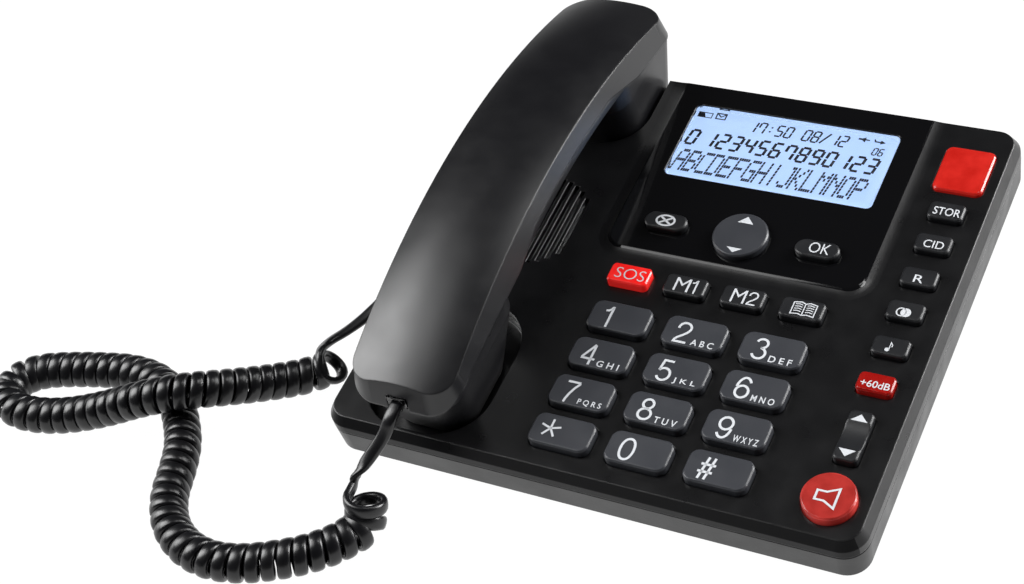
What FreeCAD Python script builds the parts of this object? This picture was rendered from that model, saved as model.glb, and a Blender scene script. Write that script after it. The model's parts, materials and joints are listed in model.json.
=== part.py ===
import FreeCAD, Part
import math
import os
import re

import Sketcher
from FreeCAD import Placement, Rotation, Vector

# Big button desk telephone, millimetres, +Z up, resting on z = 0.
# The base is described in a deck frame: u to the right, v to the back along the sloping deck,
# n square to the deck, with its origin at the middle of the dial keys on the deck's face.

DRIVING = [
    # slope and place of the deck frame
    ("slope", 8.5), ("origin_x", 19.25), ("origin_y", -57.6), ("origin_z", 26.5),
    # slab of the base
    ("left_u", -121.0), ("front_v", -41.0), ("body_wide", 203.5), ("body_deep", 188.0),
    ("body_corner", 9.0), ("bevel_wide", 2.2), ("bevel_high", 3.8), ("seam_depth", 7.2),
    ("seam_gap", 0.35), ("slab_depth", 18.3), ("slab_draft", 3.0), ("wall", 2.4),
    ("deck_wall", 2.6), ("floor_wall", 2.2),
    # raised display panel
    ("panel_left", -50.0), ("panel_wide", 98.5), ("panel_front", 60.0),
    ("panel_corner", 6.5), ("panel_rise", 0.9), ("sweep_wide", 4.8), ("sweep_root", 0.7),
    ("window_u", -1.0), ("window_v", 115.7), ("window_wide", 81.2), ("window_deep", 36.4),
    ("window_corner", 2.0), ("window_thick", 2.4), ("window_sink", 0.2),
    ("lcd_margin", 2.2), ("lcd_corner", 0.8), ("lcd_thick", 2.4), ("light_thick", 4.8),
    # cradle wells for the handset
    ("handset_u", -82.0), ("mouth_well_u", -85.5), ("mouth_well_v", -7.4),
    ("mouth_well_wide", 49.0), ("mouth_well_deep", 60.4), ("mouth_well_corner", 20.0),
    ("well_depth", 7.0), ("ear_well_front", 107.0), ("ear_well_wide", 47.5),
    ("ear_well_corner", 18.0),
    # loudspeaker and its slots
    ("speaker_v", 65.0), ("slot_field", 21.6), ("slot_pitch", 3.25), ("slot_wide", 1.9),
    ("slot_count", 11), ("speaker_radius", 25.0), ("speaker_rim", 1.5),
    ("speaker_basket", 8.0), ("magnet_radius", 16.0), ("magnet_high", 8.0),
    ("speaker_ring", 1.6), ("speaker_play", 0.3),
    # keys
    ("dial_u", -0.5), ("dial_v", 0.4), ("key_pitch_u", 29.0), ("key_pitch_v", 17.25),
    ("key_wide", 23.0), ("key_deep", 12.9),
    ("key_corner", 3.4), ("key_rise", 3.2), ("key_play", 0.35), ("key_bevel", 0.6),
    ("key_travel", 1.5), ("flange_thick", 1.0), ("flange_edge", 1.2), ("flange_play", 0.3), ("tilt_play", 1.0),
    ("stem_inset", 3.2), ("stem_base", 7.2), ("small_rise", 2.6),
    ("upper_wide", 15.7), ("upper_deep", 8.7), ("upper_u", -0.8), ("upper_v", 46.0),
    ("upper_pitch", 22.1),
    ("pill_wide", 16.6), ("pill_deep", 7.8), ("panel_key_v", 73.1), ("panel_key_reach", 29.4), ("disc_radius", 10.3),
    ("side_u", 66.9), ("side_wide", 12.8), ("side_deep", 7.9), ("small_corner", 1.8),
    ("rocker_wide", 8.6), ("rocker_deep", 20.6), ("rocker_v", -0.5), ("saddle_depth", 1.5),
    ("speaker_key_radius", 9.3), ("speaker_key_v", -25.2),
    ("lamp_v", 122.4), ("lamp_wide", 18.3), ("lamp_deep", 21.4), ("lamp_rise", 1.4),
    ("lamp_corner", 2.6), ("led_wide", 5.0), ("led_high", 4.6),
    # board and switch mat
    ("board_left", -45.0), ("board_wide", 122.0), ("board_front", -34.0),
    ("board_deep", 163.0), ("board_top", 10.5), ("board_thick", 1.6),
    ("mat_thick", 1.0), ("dome_radius", 3.0), ("dome_high", 0.5),
    # wedge under the slab, drawn level with the table
    ("wedge_inset", 12.0), ("wedge_front", -85.0), ("wedge_deep", 157.0),
    ("wedge_corner", 9.0), ("wedge_floor", 2.5), ("wedge_wall", 2.4),
    ("foot_radius", 6.0), ("foot_sink", 0.8), ("foot_inset", 14.0),
    # batteries, three cells side by side
    ("battery_x", 30.0), ("battery_y", 10.0), ("cell_long", 44.5), ("cell_radius", 5.25),
    ("cell_pitch", 11.3), ("contact_space", 2.6), ("box_high", 12.0), ("box_wall", 1.6),
    ("door_thick", 1.8), ("door_play", 0.25), ("door_travel", 6.0), ("door_lap", 2.5),
    # screws
    ("screw_radius", 1.5), ("head_radius", 2.8), ("head_high", 1.8), ("boss_radius", 3.6),
    ("screw_long", 10.0),
    # hook plunger and its switch
    ("plunger_v", 122.0), ("plunger_radius", 3.5), ("plunger_travel", 4.0),
    ("plunger_flange", 5.0), ("plunger_foot", 17.0), ("switch_high", 6.0),
    ("switch_wide", 12.8), ("switch_deep", 6.5),
    # sockets and plugs of the handset cord, and the line inlet
    ("plug_wide", 7.65), ("plug_high", 5.4), ("plug_long", 11.0), ("socket_play", 0.25),
    ("socket_wall", 1.0), ("jack_v", 32.0), ("jack_depth", 11.5), ("line_u", 62.0),
    ("line_wide", 9.65), ("line_high", 5.4), ("plug_proud", 1.2), ("latch_wide", 3.2), ("latch_thick", 0.8),
    ("latch_gap", 1.4), ("latch_reach", 1.4),
    # handset
    ("arch_v", 55.0), ("arch_top", 42.0), ("arch_radius", 277.0), ("arch_sweep", 52.0),
    ("ridge_half", 20.4), ("crown", 3.4), ("flank_high", 14.0), ("flank_slope", 12.0),
    ("hand_front", -39.4), ("hand_back", 160.2), ("end_corner", 10.0), ("end_reach", 20.0),
    ("end_join", 1.5), ("end_drop", 30.0), ("shell_wall", 2.2),
    ("neck_side", 21.8), ("neck_turn", 10.5), ("neck_half", 15.0), ("neck_depth", 18.0),
    ("neck_span", 27.0), ("head_sink", 3.2),
    ("ear_front", 106.0), ("ear_back", 161.9), ("ear_low_front", 111.0),
    ("ear_low_back", 155.0), ("ear_low", -5.2), ("ear_low_half", 21.5), ("ear_top", 17.0),
    ("mouth_front", -40.7), ("mouth_back", 16.0), ("mouth_low_front", -31.5),
    ("mouth_low_back", 8.0), ("mouth_low", -5.2), ("mouth_low_half", 16.0),
    ("mouth_top", 20.0), ("ear_half", 22.3), ("mouth_half", 21.6), ("block_corner", 11.5),
    ("receiver_v", 132.0), ("receiver_radius", 16.0), ("receiver_high", 9.0),
    ("mic_v", -12.0), ("mic_radius", 4.9), ("mic_high", 6.0), ("capsule_play", 0.3),
    ("ring_wall", 1.4), ("ring_high", 6.0), ("hole_radius", 1.2),
    ("weight_long", 56.0), ("weight_wide", 24.0), ("weight_thick", 3.6),
    ("jack_level", 20.4), ("hand_jack_long", 13.0), ("jack_setback", 0.6),
    # cord
    ("lead_thick", 3.0), ("lead_hop", 5.5), ("curl_radius", 4.6), ("curl_wire", 2.7),
    ("curl_pitch", 4.95), ("curl_sides", 12),
]

# Driving values that the code below needs as numbers
SIZE = dict(DRIVING)

# Upper keys, panel keys and side column: name and place
UPPER_KEYS = [("key_sos", -1.5), ("key_memory_one", -0.5), ("key_memory_two", 0.5),
              ("key_phonebook", 1.5)]
PANEL_KEYS = [("key_cancel", -1), ("key_ok", 1)]
SIDE_KEYS = [("key_store", 101.3), ("key_caller_list", 85.9), ("key_flash", 69.9),
             ("key_redial", 54.5), ("key_ringer", 38.4), ("key_boost", 22.4)]
DIAL_NAMES = ["key_one", "key_two", "key_three", "key_four", "key_five", "key_six",
              "key_seven", "key_eight", "key_nine", "key_star", "key_zero", "key_hash"]
# Screws through the slab's floor, and the board's screws
SHELL_SCREWS = [(-113.0, 43.0), (-112.0, 100.0), (-51.0, -31.5), (50.0, -32.5),
                (-50.0, 139.0), (50.0, 139.0)]
BOARD_SCREWS = [(-40.0, 57.0), (50.0, 57.0), (-15.0, -16.9), (50.0, -16.9)]
HANDSET_SCREWS = [22.0, 98.0]

doc = FreeCAD.newDocument("big_button_telephone")
sheet = doc.addObject("Spreadsheet::Sheet", "Sizes")
PARTS = []


def fill_sheet():
    for row, (name, number) in enumerate(DRIVING, start=1):
        sheet.set("A%d" % row, name)
        sheet.set("B%d" % row, str(number))
        sheet.setAlias("B%d" % row, name)
    doc.recompute()


def bind(text):
    """Expression text with each driving name read from the sheet."""
    return re.sub(r"[a-z_]+", lambda w: "Sizes." + w[0] if w[0] in SIZE else w[0], str(text))


def number(text):
    """Value of an expression of driving names."""
    found = sheet.evalExpression(bind(text))
    return float(getattr(found, "Value", found))


# Placing

def seat(thing, u="0", v="0", n="0"):
    """Put a piece at a place of the sloping deck frame."""
    thing.Placement = Placement(Vector(), Rotation(Vector(1, 0, 0), number("slope")))
    thing.setExpression("Placement.Rotation.Angle", bind("slope"))
    thing.setExpression("Placement.Base.x", bind("origin_x + (%s)" % u))
    thing.setExpression(
        "Placement.Base.y", bind("origin_y + (%s) * cos(slope) - (%s) * sin(slope)" % (v, n)))
    thing.setExpression(
        "Placement.Base.z", bind("origin_z + (%s) * sin(slope) + (%s) * cos(slope)" % (v, n)))
    return thing


def deck_placement():
    """The deck frame as a placement, for shapes that are computed here."""
    place = Vector(number("origin_x"), number("origin_y"), number("origin_z"))
    return Placement(place, Rotation(Vector(1, 0, 0), number("slope")))


def deck_point(u, v, n):
    return deck_placement().multVec(Vector(u, v, n))


def keep(thing, label):
    """Name a finished piece: its label names its file."""
    thing.Label = label
    PARTS.append(thing)
    return thing


# Sketches and features of a body

def new_body(name):
    return doc.addObject("PartDesign::Body", name)


def plane_of(body, role):
    return [p for p in body.Origin.OriginFeatures if p.Role == role][0]


def new_sketch(body, lift="0", role="XY_Plane"):
    sketch = body.newObject("Sketcher::SketchObject", "Sketch")
    sketch.AttachmentSupport = (plane_of(body, role), [""])
    sketch.MapMode = "FlatFace"
    sketch.setExpression("AttachmentOffset.Base.z", bind(lift))
    return sketch


def settle(sketch, plain, sized):
    """Add constraints in one go: plain ones, and dimensions bound to driving values."""
    limits = [Sketcher.Constraint(*where, number(text)) for where, text in sized]
    made = sketch.addConstraint([Sketcher.Constraint(*where) for where in plain] + limits)
    for index, (_, text) in zip(made[len(plain):], sized):
        sketch.setExpression("Constraints[%d]" % index, bind(text))


def rounded(sketch, wide, deep, corner, u="0", v="0"):
    """Rounded rectangle about (u, v)."""
    w, d, r = number(wide) / 2, number(deep) / 2, number(corner)
    mid = Vector(number(u), number(v), 0)
    ends = [((-w + r, -d), (w - r, -d)), ((w, -d + r), (w, d - r)),
            ((w - r, d), (-w + r, d)), ((-w, d - r), (-w, -d + r))]
    hubs = [(w - r, -d + r), (w - r, d - r), (-w + r, d - r), (-w + r, -d + r)]
    shapes = []
    for index, ((a, b), hub) in enumerate(zip(ends, hubs)):
        shapes.append(Part.LineSegment(mid + Vector(*a, 0), mid + Vector(*b, 0)))
        turn = math.radians(90 * index - 90)
        round_end = Part.Circle(mid + Vector(*hub, 0), Vector(0, 0, 1), r)
        shapes.append(Part.ArcOfCircle(round_end, turn, turn + math.pi / 2))
    first = sketch.addGeometry(shapes, False)[0]
    plain = []
    for side in range(4):
        line, arc = first + 2 * side, first + 2 * side + 1
        after = first + (2 * side + 2) % 8
        plain.append(("Tangent", line, 2, arc, 1))
        plain.append(("Tangent", arc, 2, after, 1))
        plain.append(("Horizontal" if side % 2 == 0 else "Vertical", line))
        if side:
            plain.append(("Equal", first + 1, arc))
    settle(sketch, plain, [
        (("Radius", first + 1), corner),
        (("DistanceX", first + 6, 1, first + 2, 1), wide),
        (("DistanceY", first, 1, first + 4, 1), deep),
        (("DistanceX", -1, 1, first + 2, 1), "(%s) + (%s) / 2" % (u, wide)),
        (("DistanceY", -1, 1, first + 4, 1), "(%s) + (%s) / 2" % (v, deep))])


def polygon(sketch, corners):
    """Closed outline through corners given as pairs of expressions."""
    spots = [Vector(number(a), number(b), 0) for a, b in corners]
    sides = [Part.LineSegment(a, b) for a, b in zip(spots, spots[1:] + spots[:1])]
    first = sketch.addGeometry(sides, False)[0]
    count = len(spots)
    plain, sized = [], []
    for index, (a, b) in enumerate(corners):
        after = first + (index + 1) % count
        plain.append(("Coincident", first + index, 2, after, 1))
        sized.append((("DistanceX", -1, 1, first + index, 1), a))
        sized.append((("DistanceY", -1, 1, first + index, 1), b))
    settle(sketch, plain, sized)


def box_outline(sketch, wide, deep, u="0", v="0"):
    """Plain rectangle about (u, v)."""
    left, right = "(%s) - (%s) / 2" % (u, wide), "(%s) + (%s) / 2" % (u, wide)
    near, far = "(%s) - (%s) / 2" % (v, deep), "(%s) + (%s) / 2" % (v, deep)
    polygon(sketch, [(left, near), (right, near), (right, far), (left, far)])


def circle(sketch, radius, u="0", v="0"):
    index = sketch.addGeometry(
        Part.Circle(Vector(number(u), number(v), 0), Vector(0, 0, 1), number(radius)), False)
    settle(sketch, [], [(("Radius", index), radius), (("DistanceX", -1, 1, index, 3), u),
                        (("DistanceY", -1, 1, index, 3), v)])


def pad(body, sketch, high, down=False, both=False, taper=None):
    feature = body.newObject("PartDesign::Pad", "Pad")
    feature.Profile = sketch
    feature.setExpression("Length", bind(high))
    feature.Reversed = down
    feature.Midplane = both
    if taper:
        feature.setExpression("TaperAngle", bind(taper))
    body.Tip = feature
    return feature


def pocket(body, sketch, deep, up=False, both=False):
    feature = body.newObject("PartDesign::Pocket", "Pocket")
    feature.Profile = sketch
    feature.setExpression("Length", bind(deep))
    feature.Reversed = up
    feature.Midplane = both
    body.Tip = feature
    return feature


def ring_turn(body, kind, sketch, axis, degrees):
    """Revolution or groove about a sketch's construction line, both ways from its plane."""
    feature = body.newObject("PartDesign::" + kind, kind)
    feature.Profile = sketch
    feature.ReferenceAxis = (sketch, [axis])
    feature.setExpression("Angle", bind(degrees))
    feature.Midplane = True
    body.Tip = feature
    return feature


def plate(body, wide, deep, corner, u, v, bottom, high, taper=None):
    """Rounded plate from n = bottom upwards."""
    sketch = new_sketch(body, bottom)
    rounded(sketch, wide, deep, corner, u, v)
    return pad(body, sketch, high, taper=taper)


def well(body, wide, deep, corner, u, v, top, depth):
    """Rounded recess from n = top downwards."""
    sketch = new_sketch(body, top)
    rounded(sketch, wide, deep, corner, u, v)
    return pocket(body, sketch, depth)


def post(body, radius, u, v, bottom, high):
    sketch = new_sketch(body, bottom)
    circle(sketch, radius, u, v)
    return pad(body, sketch, high)


def bore(body, radius, u, v, top, depth):
    sketch = new_sketch(body, top)
    circle(sketch, radius, u, v)
    return pocket(body, sketch, depth)


MID_U = "left_u + body_wide / 2"
MID_V = "front_v + body_deep / 2"
BACK_V = "front_v + body_deep"
PANEL_BACK = "front_v + body_deep + sweep_wide"
DECK_UNDER = "-deck_wall"


def upper_place(step):
    """Place across the deck of a key in the row over the dial."""
    return "upper_u + %s * upper_pitch" % step


def panel_place(side):
    """Place across the deck of the long key on one side of the round one."""
    return "window_u + %s * panel_key_reach" % side


# Upper housing

def panel_outline(sketch, grow):
    """The panel's plan: rounded at the front, running out over the back edge."""
    rounded(sketch, "panel_wide + 2 * (%s)" % grow,
            "front_v + body_deep - panel_front + sweep_wide + 2 * (%s)" % grow,
            "panel_corner + (%s)" % grow, "panel_left + panel_wide / 2",
            "(front_v + body_deep + sweep_wide + panel_front) / 2")


def raise_panel(body):
    """Raised display panel with a hollow sweep up to its edge, cut off along the rear bevel."""
    sketch = new_sketch(body, "0")
    panel_outline(sketch, "0")
    pad(body, sketch, "panel_rise")
    path = new_sketch(body, "0")
    near = number("panel_front")
    left = number("panel_left")
    right = left + number("panel_wide")
    turn = number("panel_corner")
    rear = number(PANEL_BACK)
    lines = [Part.LineSegment(Vector(left, rear, 0), Vector(left, near + turn, 0)),
             Part.ArcOfCircle(Part.Circle(Vector(left + turn, near + turn, 0),
                                          Vector(0, 0, 1), turn), math.pi, 1.5 * math.pi),
             Part.LineSegment(Vector(left + turn, near, 0), Vector(right - turn, near, 0)),
             Part.ArcOfCircle(Part.Circle(Vector(right - turn, near + turn, 0),
                                          Vector(0, 0, 1), turn), -math.pi / 2, 0),
             Part.LineSegment(Vector(right, near + turn, 0), Vector(right, rear, 0))]
    first = path.addGeometry(lines, False)[0]
    joins = [("Tangent", first + i, 2, first + i + 1, 1) for i in range(4)]
    settle(path, joins + [("Vertical", first), ("Horizontal", first + 2),
                          ("Vertical", first + 4), ("Equal", first + 1, first + 3)],
           [(("Radius", first + 1), "panel_corner"),
            (("DistanceX", -1, 1, first, 1), "panel_left"),
            (("DistanceY", -1, 1, first, 1), PANEL_BACK),
            (("DistanceY", -1, 1, first + 2, 1), "panel_front"),
            (("DistanceX", -1, 1, first + 4, 2), "panel_left + panel_wide"),
            (("DistanceY", -1, 1, first + 4, 2), PANEL_BACK)])
    section = new_sketch(body, "-(%s)" % PANEL_BACK, "XZ_Plane")
    wide, rise = number("sweep_wide"), number("panel_rise")
    root = number("sweep_root")
    radius = (wide * wide + rise * rise) / (2 * rise)
    hub = Vector(left - wide, radius, 0)
    sweep = math.asin(wide / radius)
    arc = Part.ArcOfCircle(Part.Circle(hub, Vector(0, 0, 1), radius),
                           -math.pi / 2, -math.pi / 2 + sweep)
    spots = [Vector(left, rise, 0), Vector(left + root, rise, 0),
             Vector(left + root, -root, 0), Vector(left - wide, -root, 0),
             Vector(left - wide, 0, 0)]
    runs = [Part.LineSegment(a, b) for a, b in zip(spots, spots[1:])]
    base = section.addGeometry([arc] + runs, False)[0]
    ring = [("Coincident", base + i, 2, base + (i + 1) % 5, 1) for i in range(5)]
    ways = [("Horizontal", base + 1), ("Vertical", base + 2), ("Horizontal", base + 3),
            ("Vertical", base + 4), ("PointOnObject", base, 1, -1)]
    settle(section, ring + ways, [
        (("DistanceX", -1, 1, base, 2), "panel_left"),
        (("DistanceY", -1, 1, base, 2), "panel_rise"),
        (("DistanceX", -1, 1, base, 1), "panel_left - sweep_wide"),
        (("Radius", base), "(sweep_wide ^ 2 + panel_rise ^ 2) / (2 * panel_rise)"),
        (("DistanceX", base + 1, 1, base + 1, 2), "sweep_root"),
        (("DistanceY", base + 4, 1, base + 4, 2), "sweep_root")])
    pipe = body.newObject("PartDesign::AdditivePipe", "Sweep")
    pipe.Profile = section
    pipe.Spine = (path, [])
    body.Tip = pipe
    trim = new_sketch(body, "0", "YZ_Plane")
    over = "(panel_rise + 2)"
    polygon(trim, [(BACK_V, "-bevel_high"), ("front_v + body_deep + 40", "-bevel_high"),
                   ("front_v + body_deep + 40", over),
                   ("front_v + body_deep - bevel_wide * (1 + %s / bevel_high)" % over, over)])
    pocket(body, trim, "3 * body_wide", both=True)


def cradle_wells(body):
    """Two tubs that take the handset's ends; the ear well runs out over the back edge."""
    ear_deep = "((%s - ear_well_front) * 2)" % BACK_V
    wells = [("mouth_well_wide", "mouth_well_deep", "mouth_well_corner",
              "mouth_well_u", "mouth_well_v"),
             ("ear_well_wide", ear_deep, "ear_well_corner", "handset_u", BACK_V)]
    for wide, deep, corner, u, v in wells:
        plate(body, wide + " + 2 * floor_wall", deep + " + 2 * floor_wall",
              corner + " + floor_wall", u, v, "-(well_depth + floor_wall)",
              "well_depth + floor_wall - bevel_high")
    trim_outside(body, "-bevel_high", "0")
    trim_outside(body, "-seam_depth", "wall + seam_gap")
    for wide, deep, corner, u, v in wells:
        well(body, wide, deep, corner, u, v, "0", "well_depth")


def trim_outside(body, top, inset):
    """Cut what the tubs leave outside the rim's walls, below a level."""
    sketch = new_sketch(body, top)
    rounded(sketch, "body_wide * 2", "body_deep * 2", "body_corner", MID_U, MID_V)
    rounded(sketch, "body_wide - 2 * (%s)" % inset, "body_deep - 2 * (%s)" % inset,
            "body_corner - (%s)" % inset, MID_U, MID_V)
    pocket(body, sketch, "slab_depth")


def dial_openings(body):
    sketch = new_sketch(body, "panel_rise")
    rounded(sketch, "key_wide + 2 * key_play", "key_deep + 2 * key_play",
            "key_corner + key_play", "dial_u - key_pitch_u", "dial_v - 1.5 * key_pitch_v")
    cut = pocket(body, sketch, "panel_rise + deck_wall + 1")
    rows = body.newObject("PartDesign::LinearPattern", "DialOpenings")
    rows.Originals = [cut]
    rows.Direction = (sketch, ["H_Axis"])
    rows.setExpression("Length", bind("2 * key_pitch_u"))
    rows.Occurrences = 3
    rows.Direction2 = (sketch, ["V_Axis"])
    rows.setExpression("Length2", bind("3 * key_pitch_v"))
    rows.Occurrences2 = 4
    body.Tip = rows


def key_openings(body):
    """Cuts for the single keys, the window and the lamp, a small set to each sketch."""
    play = "2 * key_play"
    sets = [[("upper_wide", "upper_deep", "small_corner", upper_place(step), "upper_v")
             for _, step in UPPER_KEYS],
            [("side_wide", "side_deep", "small_corner", "side_u", str(v))
             for _, v in SIDE_KEYS[:3]],
            [("side_wide", "side_deep", "small_corner", "side_u", str(v))
             for _, v in SIDE_KEYS[3:]],
            [("pill_wide", "pill_deep", "pill_deep / 2 - 0.05", panel_place(side),
              "panel_key_v") for _, side in PANEL_KEYS],
            [("rocker_wide", "rocker_deep", "small_corner", "side_u", "rocker_v"),
             ("lamp_wide", "lamp_deep", "lamp_corner", "side_u", "lamp_v"),
             ("window_wide", "window_deep", "window_corner", "window_u", "window_v")]]
    depth = "panel_rise + deck_wall + 2"
    for openings in sets:
        sketch = new_sketch(body, "panel_rise + 1")
        for wide, deep, corner, u, v in openings:
            rounded(sketch, "%s + %s" % (wide, play), "%s + %s" % (deep, play),
                    "%s + key_play" % corner, u, v)
        pocket(body, sketch, depth)
    sketch = new_sketch(body, "panel_rise + 1")
    circle(sketch, "disc_radius + key_play", "window_u", "panel_key_v")
    circle(sketch, "speaker_key_radius + key_play", "side_u", "speaker_key_v")
    pocket(body, sketch, depth)


def grille(body):
    """Slots along v inside a round field under the handset's middle."""
    sketch = new_sketch(body, "panel_rise")
    middle = (SIZE["slot_count"] - 1) / 2
    for index in range(int(SIZE["slot_count"])):
        off = "(%s * slot_pitch)" % (index - middle)
        box_outline(sketch, "slot_wide", "2 * sqrt(slot_field ^ 2 - %s ^ 2)" % off,
                    "handset_u + " + off, "speaker_v")
    pocket(body, sketch, "panel_rise + deck_wall + 1")


def upper_bosses(body):
    sketch = new_sketch(body, "-(seam_depth + 2.2)")
    for u, v in SHELL_SCREWS:
        circle(sketch, "boss_radius", str(u), str(v))
    pad(body, sketch, "seam_depth + 2.2 - deck_wall / 2")
    sketch = new_sketch(body, "-(seam_depth + 2.2)")
    for u, v in SHELL_SCREWS:
        circle(sketch, "screw_radius", str(u), str(v))
    pocket(body, sketch, "screw_long - 4", up=True)


def upper_housing():
    body = new_body("UpperHousing")
    plate(body, "body_wide", "body_deep", "body_corner", MID_U, MID_V,
          "-seam_depth", "seam_depth - bevel_high")
    plate(body, "body_wide", "body_deep", "body_corner", MID_U, MID_V,
          "-bevel_high", "bevel_high", taper="-atan(bevel_wide / bevel_high)")
    sketch = new_sketch(body, "-seam_depth")
    rounded(sketch, "body_wide - 2 * wall", "body_deep - 2 * wall", "body_corner - wall",
            MID_U, MID_V)
    pocket(body, sketch, "seam_depth - deck_wall", up=True)
    raise_panel(body)
    cradle_wells(body)
    dial_openings(body)
    key_openings(body)
    upper_bosses(body)
    sketch = new_sketch(body, "-deck_wall - 4")
    circle(sketch, "speaker_radius + speaker_play + speaker_ring", "handset_u", "speaker_v")
    circle(sketch, "speaker_radius + speaker_play", "handset_u", "speaker_v")
    pad(body, sketch, "4.5")
    sketch = new_sketch(body, "-deck_wall - 1")
    rounded(sketch, "window_wide + 2 * lcd_margin + 2 * socket_play",
            "window_deep + 2 * lcd_margin + 2 * socket_play", "lcd_corner",
            "window_u", "window_v")
    pocket(body, sketch, "1 + deck_wall + panel_rise - window_sink - window_thick", up=True)
    bore(body, "plunger_radius + key_play", "handset_u", "plunger_v", "0",
         "well_depth + floor_wall + 1")
    grille(body)
    keep(seat(body), "upper_housing")


# Lower housing

def level_place(thing, z="0"):
    """Put a piece on a plane level with the table."""
    thing.setExpression("Placement.Base.x", bind("origin_x + " + MID_U))
    thing.setExpression("Placement.Base.z", bind(z))
    return thing


def lower_slab():
    body = new_body("LowerSlab")
    sketch = new_sketch(body, "-(seam_depth + seam_gap)")
    rounded(sketch, "body_wide", "body_deep", "body_corner", MID_U, MID_V)
    pad(body, sketch, "slab_depth - seam_depth - seam_gap", down=True, taper="-slab_draft")
    return seat(body)


def slab_hollow():
    body = new_body("SlabHollow")
    plate(body, "body_wide - 2 * wall", "body_deep - 2 * wall", "body_corner - wall",
          MID_U, MID_V, "floor_wall - slab_depth", "slab_depth")
    return seat(body)


def wedge(name, shrink, floor, high):
    body = new_body(name)
    plate(body, "body_wide - 2 * (wedge_inset + %s)" % shrink, "wedge_deep - 2 * %s" % shrink,
          "wedge_corner - %s / 2" % shrink, "0", "wedge_front + wedge_deep / 2", "0", high)
    return level_place(body, floor)


def above_slab():
    """Everything above the slab's middle plane, to trim level pieces with."""
    body = new_body("AboveSlab")
    plate(body, "body_wide * 2", "body_deep * 2", "body_corner", MID_U, MID_V,
          "-(slab_depth - 1)", "body_wide")
    return seat(body)


def boolean(kind, name, base, tool):
    feature = doc.addObject("Part::" + kind, name)
    feature.Base = base
    feature.Tool = tool
    return feature


def fuse(name, things):
    feature = doc.addObject("Part::MultiFuse", name)
    feature.Shapes = things
    return feature


def lower_posts():
    """Screw bosses on the slab's floor, board posts, and the hook switch's post."""
    body = new_body("Posts")
    top = "-(seam_depth + 2.5)"
    sketch = new_sketch(body, top)
    for u, v in SHELL_SCREWS:
        circle(sketch, "boss_radius", str(u), str(v))
    pad(body, sketch, "slab_depth - seam_depth - 2.5 - floor_wall / 2", down=True)
    tall = new_body("TallPosts")
    sketch = new_sketch(tall, "-(board_top + board_thick)")
    for u, v in BOARD_SCREWS:
        circle(sketch, "boss_radius - 0.6", str(u), str(v))
    pad(tall, sketch, "body_deep", down=True)
    perch = new_body("SwitchPost")
    sketch = new_sketch(perch, "-(plunger_foot + switch_high + 0.6)")
    box_outline(sketch, "switch_wide", "switch_deep", "handset_u", "plunger_v")
    pad(perch, sketch, "body_deep", down=True)
    return seat(body), fuse("Standing", [seat(tall), seat(perch)])


def screw_cuts():
    """Screw holes with counterbores, and pilot holes of the board posts."""
    body = new_body("ScrewCuts")
    sketch = new_sketch(body, "-slab_depth - 1")
    for u, v in SHELL_SCREWS:
        circle(sketch, "screw_radius + 0.2", str(u), str(v))
    pad(body, sketch, "slab_depth")
    heads = new_body("HeadCuts")
    sketch = new_sketch(heads, "-slab_depth - 1")
    for u, v in SHELL_SCREWS:
        circle(sketch, "head_radius + 0.3", str(u), str(v))
    pad(heads, sketch, "1 + head_high + 0.6")
    pilots = new_body("PilotCuts")
    sketch = new_sketch(pilots, "-(board_top + board_thick)")
    for u, v in BOARD_SCREWS:
        circle(sketch, "screw_radius - 0.4", str(u), str(v))
    pad(pilots, sketch, "screw_long - 2", down=True)
    return [seat(body), seat(heads), seat(pilots)]


BOX_WIDE = "cell_long + 2 * contact_space"
BOX_DEEP = "3 * cell_pitch"


def battery_box():
    """Walls of the battery space in the wedge, open below, with the door's recess."""
    outer = new_body("BatteryWalls")
    plate(outer, BOX_WIDE + " + 2 * box_wall", BOX_DEEP + " + 2 * box_wall", "1",
          "0", "0", "0", "wedge_floor + box_high + box_wall")
    space = new_body("BatterySpace")
    plate(space, BOX_WIDE, BOX_DEEP, "0.8", "0", "0", "-wedge_floor",
          "2 * wedge_floor + box_high")
    recess = new_body("DoorRecess")
    lap = "2 * (door_lap + door_play)"
    plate(recess, BOX_WIDE + " + " + lap, BOX_DEEP + " + door_travel + " + lap, "1.5",
          "0", "-door_travel / 2", "-wedge_floor", "wedge_floor + door_thick + door_play")
    for thing in (outer, space, recess):
        thing.setExpression("Placement.Base.x", bind("battery_x"))
        thing.setExpression("Placement.Base.y", bind("battery_y"))
        thing.setExpression("Placement.Base.z", bind("wedge_floor"))
    return outer, [space, recess]


def socket_cuts():
    """Openings of the handset cord's socket at the left and the line inlet at the back."""
    body = new_body("SocketCuts")
    sketch = new_sketch(body, "left_u - 5", "YZ_Plane")
    box_outline(sketch, "plug_wide + 2 * socket_play", "plug_high + 2 * socket_play",
                "jack_v", "-jack_depth")
    pad(body, sketch, "wall + 8")
    back = new_body("LineCut")
    sketch = new_sketch(back, "-(%s) - 5" % BACK_V, "XZ_Plane")
    box_outline(sketch, "line_wide + 2 * socket_play", "line_high + 2 * socket_play",
                "line_u", "-jack_depth")
    pad(back, sketch, "wall + 8")
    return [seat(body), seat(back)]


def foot_places():
    """Centres of the four feet on the wedge, level with the table."""
    side = "(body_wide / 2 - wedge_inset - foot_inset)"
    near = "wedge_front + foot_inset"
    far = "wedge_front + wedge_deep - foot_inset"
    return [("-" + side, near), (side, near), ("-" + side, far), (side, far)]


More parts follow.
